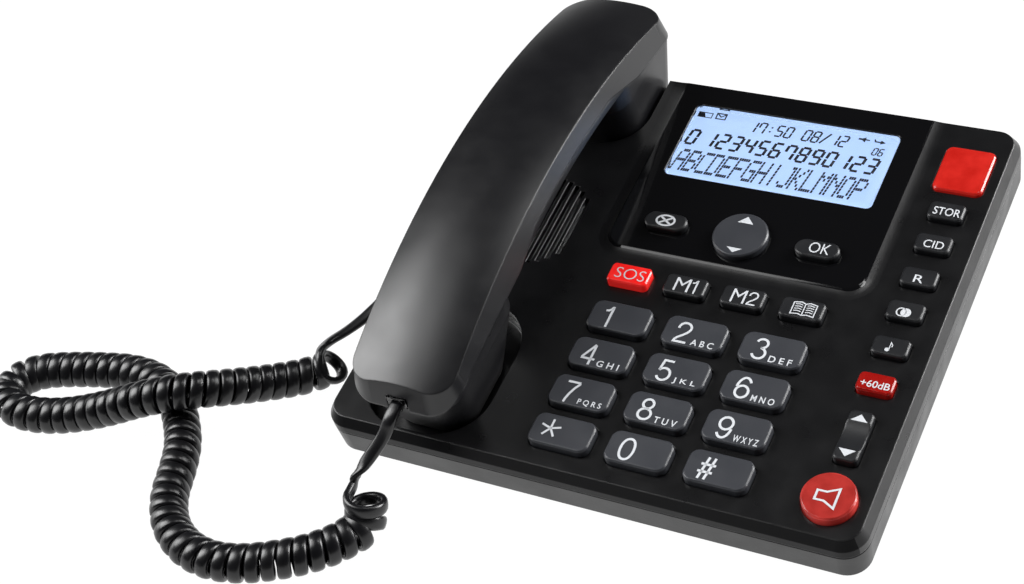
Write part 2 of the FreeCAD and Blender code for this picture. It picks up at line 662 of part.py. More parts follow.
def lower_housing():
    slab = lower_slab()
    belly = boolean("Cut", "Belly", wedge("Wedge", "0", "wedge_floor", "slab_depth * 3"),
                    above_slab())
    shell = fuse("ShellBlock", [slab, belly])
    hollow = fuse("Hollow", [slab_hollow(),
                             wedge("WedgeHollow", "wedge_wall", "wedge_floor + floor_wall",
                                   "slab_depth * 4")])
    hulled = boolean("Cut", "HulledShell", shell, hollow)
    walls, spaces = battery_box()
    bosses, standing = lower_posts()
    footed = boolean("Common", "TrimmedPosts", standing,
                     fuse("PostReach", [wedge("WedgeBlock", "0", "wedge_floor",
                                              "slab_depth * 4")]
                          + [slab_solid_reach()]))
    filled = fuse("FilledShell", [hulled, walls, bosses, footed])
    feet = new_body("FootCuts")
    sketch = new_sketch(feet, "0")
    for x, y in foot_places():
        circle(sketch, "foot_radius + 0.15", x, y)
    pad(feet, sketch, "wedge_floor + foot_sink")
    level_place(feet, "0")
    cuts = fuse("AllCuts", spaces + screw_cuts() + socket_cuts() + [feet])
    keep(boolean("Cut", "LowerHousing", filled, cuts), "lower_housing")


def slab_solid_reach():
    """Block of the slab above its floor, which the board posts may stand in."""
    body = new_body("SlabReach")
    plate(body, "body_wide - 2 * wall", "body_deep - 2 * wall", "body_corner - wall",
          MID_U, MID_V, "floor_wall / 2 - slab_depth", "slab_depth")
    return seat(body)


# Keys

def flanged(body, outline, wide, deep, rise, play="flange_play"):
    """Cap, hidden flange and stem of one key, about its own centre."""
    cap = new_sketch(body, "%s - %s - flange_thick / 2" % (DECK_UNDER, play))
    outline(cap)
    pad(body, cap, "deck_wall + %s + flange_thick / 2 + %s - key_bevel" % (play, rise))
    top = new_sketch(body, "%s - key_bevel" % rise)
    outline(top)
    pad(body, top, "key_bevel", taper="-40")
    flange = new_sketch(body, "%s - %s - flange_thick" % (DECK_UNDER, play))
    box_outline(flange, "%s + 2 * flange_edge" % wide, "%s + 2 * flange_edge" % deep)
    pad(body, flange, "flange_thick")
    stem = new_sketch(body, "-stem_base")
    box_outline(stem, "%s - 2 * stem_inset" % wide, "%s - stem_inset" % deep)
    pad(body, stem, "stem_base - deck_wall - " + play)


def plain_key(label, u, v, wide, deep, corner, rise, play="flange_play"):
    body = new_body("Key")
    flanged(body, lambda s: rounded(s, wide, deep, corner), wide, deep, rise, play)
    keep(seat(body, u, v), label)
    return body


def dish(body, rise, radius, depth, span):
    """Shallow hollow across a cap's top, its axis along u."""
    sketch = new_sketch(body, "0", "YZ_Plane")
    circle(sketch, radius, "0", "%s - %s + %s" % (rise, depth, radius))
    pocket(body, sketch, span, both=True)


def round_key(label, u, v, radius, rise, play="flange_play"):
    body = new_body("RoundKey")
    flanged(body, lambda s: circle(s, radius), "1.8 * " + radius, "1.8 * " + radius, rise, play)
    keep(seat(body, u, v), label)
    return body


def keys():
    for index, label in enumerate(DIAL_NAMES):
        column, row = index % 3 - 1, 1.5 - index // 3
        plain_key(label, "dial_u + %s * key_pitch_u" % column,
                  "dial_v + %s * key_pitch_v" % row,
                  "key_wide", "key_deep", "key_corner", "key_rise")
    for label, step in UPPER_KEYS:
        plain_key(label, upper_place(step), "upper_v",
                  "upper_wide", "upper_deep", "small_corner", "key_rise")
    for label, side in PANEL_KEYS:
        plain_key(label, panel_place(side), "panel_key_v",
                  "pill_wide", "pill_deep", "pill_deep / 2 - 0.05", "small_rise + panel_rise")
    for label, v in SIDE_KEYS:
        plain_key(label, "side_u", str(v), "side_wide", "side_deep", "small_corner",
                  "small_rise")
    rocker = plain_key("key_volume", "side_u", "rocker_v", "rocker_wide", "rocker_deep",
                       "small_corner", "key_rise", "tilt_play")
    dish(rocker, "key_rise", "rocker_deep / 1.8", "saddle_depth", "3 * rocker_wide")
    round_key("key_up_down", "window_u", "panel_key_v", "disc_radius",
              "small_rise + panel_rise", "tilt_play")
    round_key("key_speaker", "side_u", "speaker_key_v", "speaker_key_radius", "key_rise")


# Display, lamp, board and mat

def display():
    top = "panel_rise - window_sink"
    under = "(%s - window_thick)" % top
    window = new_body("Window")
    plate(window, "window_wide", "window_deep", "window_corner", "0", "0",
          under, "window_thick")
    keep(seat(window, "window_u", "window_v"), "display_window")
    panel = new_body("Panel")
    plate(panel, "window_wide + 2 * lcd_margin", "window_deep + 2 * lcd_margin", "lcd_corner",
          "0", "0", under + " - lcd_thick", "lcd_thick")
    keep(seat(panel, "window_u", "window_v"), "lcd_panel")
    light = new_body("Light")
    plate(light, "window_wide + lcd_margin", "window_deep + lcd_margin", "lcd_corner",
          "0", "0", under + " - lcd_thick - light_thick", "light_thick")
    keep(seat(light, "window_u", "window_v"), "lcd_backlight")


def lamp():
    lens = new_body("Lens")
    sketch = new_sketch(lens, DECK_UNDER + " - flange_thick / 2")
    rounded(sketch, "lamp_wide", "lamp_deep", "lamp_corner")
    pad(lens, sketch, "deck_wall + flange_thick / 2 + lamp_rise - key_bevel")
    sketch = new_sketch(lens, "lamp_rise - key_bevel")
    rounded(sketch, "lamp_wide", "lamp_deep", "lamp_corner")
    pad(lens, sketch, "key_bevel", taper="-45")
    sketch = new_sketch(lens, DECK_UNDER + " - flange_thick")
    box_outline(sketch, "lamp_wide + 2 * flange_edge", "lamp_deep + 2 * flange_edge")
    pad(lens, sketch, "flange_thick")
    keep(seat(lens, "side_u", "lamp_v"), "ring_lamp_lens")
    led = new_body("Led")
    sketch = new_sketch(led, "-board_top")
    box_outline(sketch, "led_wide", "led_wide")
    pad(led, sketch, "led_high - led_wide / 2")
    sketch = new_sketch(led, "led_high - led_wide / 2 - board_top")
    circle(sketch, "led_wide / 2 - 0.1")
    pad(led, sketch, "led_wide / 2")
    keep(seat(led, "side_u", "lamp_v"), "ring_lamp_led")


def board():
    mid_u = "board_left + board_wide / 2"
    mid_v = "board_front + board_deep / 2"
    body = new_body("Board")
    plate(body, "board_wide", "board_deep", "3", mid_u, mid_v,
          "-(board_top + board_thick)", "board_thick")
    sketch = new_sketch(body, "-board_top")
    for u, v in [spot for spot in SHELL_SCREWS if spot[0] > 0]:
        circle(sketch, "boss_radius + 0.8", str(u), str(v))
    for u, v in BOARD_SCREWS:
        circle(sketch, "screw_radius - 0.1", str(u), str(v))
    pocket(body, sketch, "board_thick + 1")
    keep(seat(body), "main_board")


def key_centres():
    """Centre of every key, as pairs of expressions."""
    spots = [("dial_u + %s * key_pitch_u" % (i % 3 - 1),
              "dial_v + %s * key_pitch_v" % (1.5 - i // 3)) for i in range(len(DIAL_NAMES))]
    spots += [(upper_place(step), "upper_v") for _, step in UPPER_KEYS]
    spots += [(panel_place(side), "panel_key_v") for _, side in PANEL_KEYS]
    spots += [("side_u", str(v)) for _, v in SIDE_KEYS]
    spots += [("side_u", "speaker_key_v")]
    return spots


def mat():
    body = new_body("Mat")
    deep = "(lamp_v - led_wide * 2 - board_front - 6)"
    plate(body, "board_wide - 2", deep, "3", "board_left + board_wide / 2",
          "board_front + 6 + %s / 2" % deep, "-board_top", "mat_thick")
    sketch = new_sketch(body, "mat_thick - board_top")
    for u, v in key_centres():
        circle(sketch, "dome_radius", u, v)
    pad(body, sketch, "dome_high")
    sketch = new_sketch(body, "mat_thick + dome_high - board_top")
    for u, v in BOARD_SCREWS:
        circle(sketch, "head_radius + 0.6", str(u), str(v))
    pocket(body, sketch, "mat_thick + dome_high + 1")
    keep(seat(body), "keypad_mat")


# Loudspeaker, hook switch and plunger

def loudspeaker():
    body = new_body("Loudspeaker")
    face = "(-deck_wall - speaker_play)"
    sketch = new_sketch(body, "-speaker_v", "XZ_Plane")
    polygon(sketch, [("0", face + " - 2.5"), ("speaker_radius - 4", face),
                     ("speaker_radius", face), ("speaker_radius", face + " - speaker_rim"),
                     ("magnet_radius + 1", face + " - speaker_basket"),
                     ("magnet_radius", face + " - speaker_basket"),
                     ("magnet_radius", face + " - speaker_basket - magnet_high"),
                     ("0", face + " - speaker_basket - magnet_high")])
    sketch.setExpression("AttachmentOffset.Base.z", bind("0"))
    turn = body.newObject("PartDesign::Revolution", "Turn")
    turn.Profile = sketch
    turn.ReferenceAxis = (sketch, ["V_Axis"])
    turn.Angle = 360
    body.Tip = turn
    keep(seat(body, "handset_u", "speaker_v"), "loudspeaker")


def hook():
    body = new_body("Plunger")
    head = "(ear_low - key_play)"
    low = "(-(well_depth + floor_wall) - plunger_travel - key_play)"
    post(body, "plunger_radius", "0", "0", "-plunger_foot", "%s + plunger_foot" % head)
    post(body, "plunger_flange", "0", "0", low + " - flange_thick", "flange_thick")
    keep(seat(body, "handset_u", "plunger_v"), "hook_plunger")
    switch = new_body("Switch")
    sketch = new_sketch(switch, "-(plunger_foot + switch_high + 0.6)")
    box_outline(sketch, "switch_wide - 0.4", "switch_deep - 0.4")
    pad(switch, sketch, "switch_high")
    sketch = new_sketch(switch, "-(plunger_foot + 0.6)")
    box_outline(sketch, "4", "2.4")
    pad(switch, sketch, "0.3")
    keep(seat(switch, "handset_u", "plunger_v"), "hook_switch")


# Sockets and plugs

def socket(name, label, wide, high, deep, role, lift, across, up, toward):
    """Socket body with its cavity, standing behind an opening in the wall."""
    body = new_body(name)
    sketch = new_sketch(body, lift, role)
    box_outline(sketch, "%s + 2 * socket_wall" % wide, "%s + 2 * socket_wall" % high,
                across, up)
    pad(body, sketch, deep, down=toward)
    sketch = new_sketch(body, lift, role)
    box_outline(sketch, "%s + 2 * socket_play" % wide, "%s + 2 * socket_play" % high,
                across, up)
    pocket(body, sketch, "%s - socket_wall" % deep, up=not toward)
    keep(seat(body), label)


def sockets():
    socket("CordSocket", "cord_jack", "plug_wide", "plug_high", "plug_long + 4",
           "YZ_Plane", "left_u + wall + 0.1", "jack_v", "-jack_depth", False)
    socket("LineSocket", "line_jack", "line_wide", "line_high", "plug_long + 4",
           "XZ_Plane", "-(%s - wall - 0.1)" % BACK_V, "line_u", "-jack_depth", False)
    socket("HandSocket", "handset_jack", "plug_wide", "plug_high", "hand_jack_long",
           "XZ_Plane", "-(hand_front + 2 * shell_wall + jack_setback)", "handset_u",
           "jack_level", True)


def plug(name, label, role, lift, across, up, toward):
    """Plug with its face at a plane: the wide body above the room that its latch needs."""
    body = new_body(name)
    sketch = new_sketch(body, lift, role)
    box_outline(sketch, "plug_wide", "plug_high - latch_gap", across, up + " + latch_gap / 2")
    pad(body, sketch, "plug_long", down=toward)
    return body


def latch(body, role, lift, face, low):
    """Springy tab that slants from the plug's nose to below its face, seen from the side."""
    nose, end = face + " + plug_long", face + " - latch_reach"
    root = low + " + latch_gap"
    sketch = new_sketch(body, lift, role)
    polygon(sketch, [(end, low), (nose, root), (nose, root + " + latch_thick"),
                     (nose + " - 2 * latch_thick", root + " + latch_thick"),
                     (end, low + " + latch_thick")])
    pad(body, sketch, "latch_wide", both=True)


def plugs():
    body = plug("BasePlug", "base_plug", "YZ_Plane", "left_u - plug_proud", "jack_v",
                "-jack_depth", False)
    latch(body, "XZ_Plane", "-jack_v", "left_u - plug_proud", "-jack_depth - plug_high / 2")
    keep(seat(body), "base_plug")
    body = plug("HandPlug", "handset_plug", "XZ_Plane", "-(hand_front - plug_proud)",
                "handset_u", "jack_level", True)
    latch(body, "YZ_Plane", "handset_u", "hand_front - plug_proud",
          "jack_level - plug_high / 2")
    keep(seat(body), "handset_plug")


# Handset: an arch turned about one far axis, trimmed by a plan with round corners

def arch_level(v):
    """Level of the ridges at a place along the handset."""
    return "(arch_top - arch_radius + sqrt(arch_radius ^ 2 - (%s - arch_v) ^ 2))" % v


def arch_axis(sketch):
    """Construction line far under the handset, the axis of its arch."""
    level = number("arch_top - arch_radius")
    left = number("handset_u - ridge_half")
    index = sketch.addGeometry(Part.LineSegment(
        Vector(left, level, 0), Vector(left + 2 * number("ridge_half"), level, 0)), True)
    settle(sketch, [("Horizontal", index)], [
        (("DistanceX", -1, 1, index, 1), "handset_u - ridge_half"),
        (("DistanceY", -1, 1, index, 1), "arch_top - arch_radius"),
        (("DistanceX", index, 1, index, 2), "2 * ridge_half")])
    return "Axis0"


def crowned(sketch, inset):
    """Section with a crowned top, sharp ridges and flaring flanks, about handset_u."""
    half, top = "(ridge_half - %s)" % inset, "(arch_top - %s)" % inset
    foot_half = "(%s + flank_high * tan(flank_slope))" % half
    foot = "(%s - flank_high)" % top
    mid = number("handset_u")
    h, f, t, b, c = (number(x) for x in (half, foot_half, top, foot, "crown"))
    radius = (h * h + c * c) / (2 * c)
    lean = math.asin(h / radius)
    hub = Vector(mid, t + c - radius, 0)
    arc = Part.ArcOfCircle(Part.Circle(hub, Vector(0, 0, 1), radius),
                           math.pi / 2 - lean, math.pi / 2 + lean)
    spots = [Vector(mid - h, t, 0), Vector(mid - f, b, 0), Vector(mid + f, b, 0),
             Vector(mid + h, t, 0)]
    lines = [Part.LineSegment(p, q) for p, q in zip(spots, spots[1:])]
    base = sketch.addGeometry([arc] + lines, False)[0]
    joins = [("Coincident", base + i, 2, base + (i + 1) % 4, 1) for i in range(4)]
    settle(sketch, joins, [
        (("Radius", base), "(%s ^ 2 + crown ^ 2) / (2 * crown)" % half),
        (("DistanceX", -1, 1, base + 1, 1), "handset_u - " + half),
        (("DistanceY", -1, 1, base + 1, 1), top),
        (("DistanceX", -1, 1, base + 3, 2), "handset_u + " + half),
        (("DistanceY", -1, 1, base + 3, 2), top),
        (("DistanceX", -1, 1, base + 2, 1), "handset_u - " + foot_half),
        (("DistanceY", -1, 1, base + 2, 1), foot),
        (("DistanceX", -1, 1, base + 2, 2), "handset_u + " + foot_half),
        (("DistanceY", -1, 1, base + 2, 2), foot)])


def arch_body(name, inset):
    body = new_body(name)
    sketch = new_sketch(body, "-arch_v", "XZ_Plane")
    axis = arch_axis(sketch)
    crowned(sketch, inset)
    ring_turn(body, "Revolution", sketch, axis, "arch_sweep")
    return seat(body)


def plan_end(body, level, v, inset):
    """Rounded end of the plan, its walls sloping as the flanks do, from the given end v."""
    half = "(ridge_half - %s)" % inset
    corner = "(end_corner - %s)" % inset
    for high, down, way in (("crown + 4", False, "-"), ("end_drop", True, "")):
        sketch = new_sketch(body, level)
        rounded(sketch, "2 * " + half, "2 * end_reach", corner, "handset_u", v)
        pad(body, sketch, high, down=down, taper=way + "flank_slope")


def plan_body(name, inset):
    """Plan of the handset: two sloping round ends and the open stretch between them."""
    body = new_body(name)
    front, back = "(hand_front + end_corner)", "(hand_back - end_corner)"
    near = "(hand_front + %s + %s)" % (inset, end_lean(front, "hand_front"))
    far = "(hand_back - %s - %s)" % (inset, end_lean(back, "hand_back"))
    plan_end(body, arch_level(front), near + " + end_reach", inset)
    plan_end(body, arch_level(back), far + " - end_reach", inset)
    sketch = new_sketch(body, "0")
    box_outline(sketch, "4 * ridge_half", "%s - %s - 2 * end_join" % (back, front),
                "handset_u", "(%s + %s) / 2" % (back, front))
    pad(body, sketch, "2 * arch_top")
    return seat(body)


def end_lean(v, end):
    """How far the sloping end stands in at the level where its corner's arc begins."""
    return "(%s - %s) * tan(flank_slope)" % (arch_level(v), arch_level(end))


# The line along which the two shells meet: places along the handset and levels
SEAM_LINE = [(-60.0, 6.0), (-41.0, 17.7), (-31.0, 22.6), (-4.0, 26.6), (19.0, 28.8),
             (37.0, 33.6), (58.0, 34.7), (82.0, 33.3), (103.0, 30.6), (124.0, 21.8),
             (155.0, 14.4), (180.0, 8.0)]


def seam_side(name, up, gap):
    """Block on one side of the seam, to trim a shell with."""
    body = new_body(name)
    sketch = new_sketch(body, "handset_u", "YZ_Plane")
    end = "arch_top + 40" if up else "-arch_top"
    line = [(str(v), "arch_top - %s - %s" % (42 - n, gap)) for v, n in SEAM_LINE]
    polygon(sketch, line + [(str(SEAM_LINE[-1][0]), end), (str(SEAM_LINE[0][0]), end)])
    pad(body, sketch, "6 * ridge_half", both=True)
    return seat(body)


def jack_opening(name):
    body = new_body(name)
    sketch = new_sketch(body, "-(hand_front - 6)", "XZ_Plane")
    box_outline(sketch, "plug_wide + 2 * socket_play", "plug_high + 2 * socket_play",
                "handset_u", "jack_level")
    pad(body, sketch, "6 + 2 * shell_wall + jack_setback", down=True)
    return seat(body)


def hand_posts(name, low, high, radius):
    """Posts round the handset's screws, from one level below the ridge to another."""
    body = new_body(name)
    for v in HANDSET_SCREWS:
        level = arch_level(str(v))
        post(body, radius, "handset_u", str(v), "%s - %s" % (level, low), "%s - %s" % (low, high))
    return seat(body)


def handset_outer():
    form = boolean("Common", "OuterForm", arch_body("OuterArch", "0"),
                   plan_body("OuterPlan", "0"))
    hollow = boolean("Common", "OuterHollow", arch_body("HollowArch", "shell_wall"),
                     plan_body("HollowPlan", "shell_wall"))
    shell = boolean("Cut", "OuterSkin", form, hollow)
    full = fuse("OuterWithPosts", [shell, hand_posts("OuterPosts", "(neck_depth - 3)", "-2",
                                                     "boss_radius")])
    cuts = fuse("OuterCuts", [seam_side("BelowSeam", False, "0"),
                              jack_opening("OuterJackCut"),
                              hand_posts("OuterPilots", "neck_depth", "2",
                                         "(screw_radius - 0.1)")])
    keep(boolean("Cut", "OuterShell", full, cuts), "handset_outer_shell")


EAR = {"front": "ear_front", "back": "ear_back", "low_front": "ear_low_front",
       "low_back": "ear_low_back", "top": "ear_top", "low": "ear_low", "half": "ear_half",
       "low_half": "ear_low_half"}
MOUTH = {"front": "mouth_front", "back": "mouth_back", "low_front": "mouth_low_front",
         "low_back": "mouth_low_back", "top": "mouth_top", "low": "mouth_low",
         "half": "mouth_half", "low_half": "mouth_low_half"}


def block(body, kind, end, inset):
    """Tapering end block by a loft between two outlines, and straight walls above it."""
    wide, corner = "2 * (%s - %s)" % (end["half"], inset), "block_corner - %s" % inset
    deep = "%s - %s - 2 * %s" % (end["back"], end["front"], inset)
    mid = "(%s + %s) / 2" % (end["back"], end["front"])
    upper = new_sketch(body, end["top"])
    rounded(upper, wide, deep, corner, "handset_u", mid)
    lower = new_sketch(body, "%s + %s" % (end["low"], inset))
    rounded(lower, "2 * (%s - %s)" % (end["low_half"], inset),
            "%s - %s - 2 * %s" % (end["low_back"], end["low_front"], inset), corner,
            "handset_u", "(%s + %s) / 2" % (end["low_back"], end["low_front"]))
    loft = body.newObject("PartDesign::%sLoft" % kind, "Block")
    loft.Profile = upper
    loft.Sections = [lower]
    loft.Ruled = True
    body.Tip = loft
    above = new_sketch(body, end["top"])
    rounded(above, wide, deep, corner, "handset_u", mid)
    if kind == "Additive":
        pad(body, above, "arch_top - " + end["top"])
    else:
        pocket(body, above, "arch_top", up=True)


def neck(body, kind, inset, span):
    """The grip's lower half, turned about the arch's axis."""
    sketch = new_sketch(body, "-arch_v", "XZ_Plane")
    axis = arch_axis(sketch)
    side, half = "(neck_side - %s)" % inset, "(neck_half - %s / 2)" % inset
    levels = ["(arch_top - 2 + %s)" % inset, "(arch_top - neck_turn)",
              "(arch_top - neck_depth + %s)" % inset]
    polygon(sketch, [("handset_u - " + side, levels[0]), ("handset_u - " + side, levels[1]),
                     ("handset_u - " + half, levels[2]), ("handset_u + " + half, levels[2]),
                     ("handset_u + " + side, levels[1]), ("handset_u + " + side, levels[0])])
    ring_turn(body, kind, sketch, axis, span)


def inner_rings(body):
    """Seats inside the inner shell: rings round the capsules and a rest for the jack."""
    for radius, v, low in (("receiver_radius", "receiver_v", "ear_low"),
                           ("mic_radius", "mic_v", "mouth_low")):
        sketch = new_sketch(body, low + " + shell_wall / 2")
        circle(sketch, radius + " + capsule_play + ring_wall", "handset_u", v)
        circle(sketch, radius + " + capsule_play", "handset_u", v)
        pad(body, sketch, "ring_high")
    sketch = new_sketch(body, "mouth_low + shell_wall / 2")
    box_outline(sketch, "plug_wide", "hand_jack_long - 6", "handset_u",
                "hand_front + 2 * shell_wall + jack_setback + hand_jack_long / 2")
    pad(body, sketch,
        "jack_level - plug_high / 2 - socket_wall - mouth_low - shell_wall / 2 - 0.1")


def sound_holes(body):
    sketch = new_sketch(body, "ear_low - 1")
    circle(sketch, "hole_radius", "handset_u", "receiver_v")
    for index in range(6):
        turn = 60 * index
        circle(sketch, "hole_radius", "handset_u + 6 * cos(%d)" % turn,
               "receiver_v + 6 * sin(%d)" % turn)
    pocket(body, sketch, "shell_wall + 1.5", up=True)
    sketch = new_sketch(body, "mouth_low - 1")
    box_outline(sketch, "5", "1.4", "handset_u", "mic_v")
    pocket(body, sketch, "shell_wall + 1.5", up=True)


def handset_inner():
    body = new_body("InnerForm")
    block(body, "Additive", EAR, "0")
    block(body, "Additive", MOUTH, "0")
    neck(body, "Revolution", "0", "neck_span")
    block(body, "Subtractive", EAR, "shell_wall")
    block(body, "Subtractive", MOUTH, "shell_wall")
    neck(body, "Groove", "shell_wall", "neck_span - 3")
    inner_rings(body)
    sound_holes(body)
    full = fuse("InnerWithPosts", [seat(body), hand_posts(
        "InnerPosts", "(neck_depth - shell_wall / 2)", "1", "boss_radius")])
    heads = hand_posts("InnerHeads", "(neck_depth + 2)", "(neck_depth - head_sink)",
                       "(head_radius + 0.3)")
    cuts = fuse("InnerCuts", [seam_side("AboveSeam", True, "seam_gap / 2"),
                              jack_opening("InnerJackCut"), heads,
                              hand_posts("InnerPilots", "neck_depth", "0",
                                         "(screw_radius + 0.2)")])
    keep(boolean("Cut", "InnerShell", full, cuts), "handset_inner_shell")


def capsules():
    body = new_body("Receiver")
    post(body, "receiver_radius", "0", "0", "ear_low + 2.5", "receiver_high")
    post(body, "receiver_radius * 0.55", "0", "0", "ear_low + 2.5 + receiver_high", "2.5")
    keep(seat(body, "handset_u", "receiver_v"), "receiver_capsule")
    body = new_body("Microphone")
    post(body, "mic_radius", "0", "0", "mouth_low + 2.3", "mic_high")
    keep(seat(body, "handset_u", "mic_v"), "microphone_capsule")
    body = new_body("Weight")
    plate(body, "weight_wide", "weight_long", "2", "handset_u", "arch_v",
          "arch_top - neck_depth + shell_wall + 0.2", "weight_thick")
    keep(seat(body), "handset_weight")


# Screws, feet, batteries

def group(name, label, things):
    """Identical small solids that share one node."""
    keep(fuse(name, things), label)


def screw(u, v, head_top, long):
    """Pan head screw, its thread up along n from the head's underside."""
    body = new_body("Screw")
    post(body, "head_radius", "0", "0", "0", "head_high")
    post(body, "screw_radius - 0.1", "0", "0", "head_high", long)
    return seat(body, u, v, head_top)


def screws():
    group("HousingScrews", "housing_screws",
          [screw(str(u), str(v), "0.6 - slab_depth", "screw_long") for u, v in SHELL_SCREWS])
    board_set = []
    for u, v in BOARD_SCREWS:
        body = new_body("BoardScrew")
        post(body, "head_radius - 0.4", "0", "0", "0", "head_high - 0.4")
        sketch = new_sketch(body, "0")
        circle(sketch, "screw_radius - 0.45")
        pad(body, sketch, "screw_long - 3.5", down=True)
        board_set.append(seat(body, str(u), str(v), "-board_top"))
    group("BoardScrews", "board_screws", board_set)
    drop = " - neck_depth + head_sink - head_high"
    hand = [screw("handset_u", str(v), arch_level(str(v)) + drop, "screw_long")
            for v in HANDSET_SCREWS]
    group("HandScrews", "handset_screws", hand)


def feet():
    things = []
    for x, y in foot_places():
        body = new_body("Foot")
        post(body, "foot_radius", x, y, "0", "wedge_floor + foot_sink - 0.1")
        things.append(level_place(body, "0"))
    group("Feet", "rubber_feet", things)


def batteries():
    cells = []
    for index in range(3):
        cell = doc.addObject("Part::Cylinder", "Cell")
        cell.setExpression("Radius", bind("cell_radius"))
        cell.setExpression("Height", bind("cell_long - 1"))
        nub = doc.addObject("Part::Cylinder", "Nub")
        nub.setExpression("Radius", bind("cell_radius * 0.36"))
        nub.setExpression("Height", bind("cell_long"))
        both = fuse("CellAndNub", [cell, nub])
        way = 1 if index % 2 == 0 else -1
        both.Placement = Placement(Vector(), Rotation(Vector(0, 1, 0), 90 * way))
        both.setExpression("Placement.Base.x", bind("battery_x - %d * cell_long / 2" % way))
        both.setExpression("Placement.Base.y",
                           bind("battery_y + %d * cell_pitch" % (index - 1)))
        both.setExpression("Placement.Base.z",
                           bind("wedge_floor + wedge_floor + box_high - cell_radius - 0.3"))
        cells.append(both)
    group("Cells", "battery_cells", cells)
    strips = []
    for side in (-1, 1):
        for index in range(3):
            strip = doc.addObject("Part::Box", "Contact")
            strip.setExpression("Length", bind("contact_space - 0.6"))
            strip.setExpression("Width", bind("cell_pitch - 2.5"))
            strip.setExpression("Height", bind("2 * cell_radius - 1"))
            shift = "0.3" if side > 0 else "0.3 - contact_space"
            strip.setExpression("Placement.Base.x", bind(
                "battery_x + %d * cell_long / 2 + %s" % (side, shift)))
            strip.setExpression("Placement.Base.y", bind(
                "battery_y + (%d - 0.5) * cell_pitch + 1.25" % (index - 1)))
            strip.setExpression("Placement.Base.z", bind(
                "2 * wedge_floor + box_high - 2 * cell_radius + 0.2"))
            strips.append(strip)
    group("Contacts", "battery_contacts", strips)
    door = new_body("Door")
    plate(door, BOX_WIDE + " + 2 * door_lap", BOX_DEEP + " + 2 * door_lap", "1.5",
          "battery_x", "battery_y", "wedge_floor", "door_thick")
    keep(door, "battery_door")


# Cord

def corner_path(points):
    """Straight runs joined by tangent arcs, as large as their runs allow."""
    edges, radii = [], []
    start = points[0]
    for before, here, after in zip(points, points[1:], points[2:]):
        a, b = (before - here), (after - here)
        reach = 0.45 * min(a.Length, b.Length)
        a.normalize()
        b.normalize()
        into, out = here + a * reach, here + b * reach
        half = (a + b)
        half.normalize()
        turn = math.pi - a.getAngle(b)
        radius = reach / math.tan(turn / 2)
        radii.append(radius)
        middle = here + half * (radius / math.cos(turn / 2) - radius)
        edges.append(Part.LineSegment(start, into).toShape())
        edges.append(Part.Arc(into, middle, out).toShape())
        start = out
    edges.append(Part.LineSegment(start, points[-1]).toShape())
    return Part.Wire(edges), radii


def tube(points, radius, name):
    """Round tube along a route of hand-chosen points."""
    wire, radii = corner_path(points)
    way = points[1] - points[0]
    ring = Part.Wire([Part.Circle(points[0], way, radius).toShape()])
    shape = wire.makePipeShell([ring], True, False)
    print("%s: length %.1f, smallest radius %.1f, volume ratio %.4f" % (
        name, wire.Length, min(radii), shape.Volume / (math.pi * radius ** 2 * wire.Length)))
    return shape


# Routes of the free cord, world millimetres, chosen by hand from the photograph
BASE_LEAD = [(-118.8, -30.6, 17.1), (-123.1, -38.9, 11.1), (-124.6, -47.0, 4.8)]
CURLY_ROUTE = [(-117.5, -61.0, 6.6), (-127.5, -69.0, 7.0), (-137.5, -80.0, 10.5),
               (-147.0, -93.0, 16.5), (-158.5, -103.0, 21.3), (-174.5, -109.0, 18.3),
               (-191.5, -112.5, 11.0), (-208.5, -117.0, 7.0), (-222.5, -120.5, 6.6),
               (-233.5, -119.0, 6.6), (-240.5, -112.5, 6.6), (-240.5, -103.0, 6.6),
               (-233.5, -96.0, 6.6), (-222.5, -92.5, 6.6), (-208.5, -88.5, 6.6),
               (-194.5, -85.5, 6.6), (-181.5, -88.0, 6.6), (-170.5, -95.5, 6.6),
               (-161.5, -105.5, 6.6), (-154.0, -116.0, 6.6),
               (-149.0, -128.0, 6.6), (-145.0, -140.0, 6.6), (-137.0, -151.5, 6.6),
               (-125.5, -159.5, 6.6), (-113.0, -161.5, 6.6), (-101.0, -158.5, 6.6),
               (-90.0, -152.0, 6.6), (-80.5, -144.5, 6.6), (-74.0, -136.0, 6.6),
               (-70.0, -126.5, 6.6)]
HANDSET_LEAD = [(-71.9, -121.3, 22.8), (-68.0, -116.8, 30.2), (-64.7, -112.1, 36.5)]


def along(route):
    """Even spots along a smooth route, with the way forward, sideways and up at each."""
    line, radii = corner_path([Vector(*spot) for spot in route])
    count = int(line.Length / 0.5)
    spots = line.discretize(Number=count + 1)
    frames = []
    for index in range(count + 1):
        way = spots[min(index + 1, count)] - spots[max(index - 1, 0)]
        way.normalize()
        side = way.cross(Vector(0, 0, 1))
        side.normalize()
        frames.append((spots[index], way, side, side.cross(way)))
    return frames, line.Length / count


def turned(frames, step, first, last):
    """Turn angle of the curls at each spot: wider curls where the route bends."""
    pitch, reach = number("curl_pitch"), number("curl_radius + curl_wire")
    angles = [0.0]
    for index in range(len(frames) - 1):
        low, high = max(index - 8, 0), min(index + 8, len(frames) - 1)
        bend = frames[low][1].getAngle(frames[high][1]) / (step * (high - low))
        spread = max(1.0, 0.9 / max(1 - bend * reach, 0.3))
        angles.append(angles[-1] + 2 * math.pi * step / (pitch * spread))
    turns = round(angles[-1] / (2 * math.pi))
    whole = 2 * math.pi * turns + last - first
    return [first + angle * whole / angles[-1] for angle in angles], turns


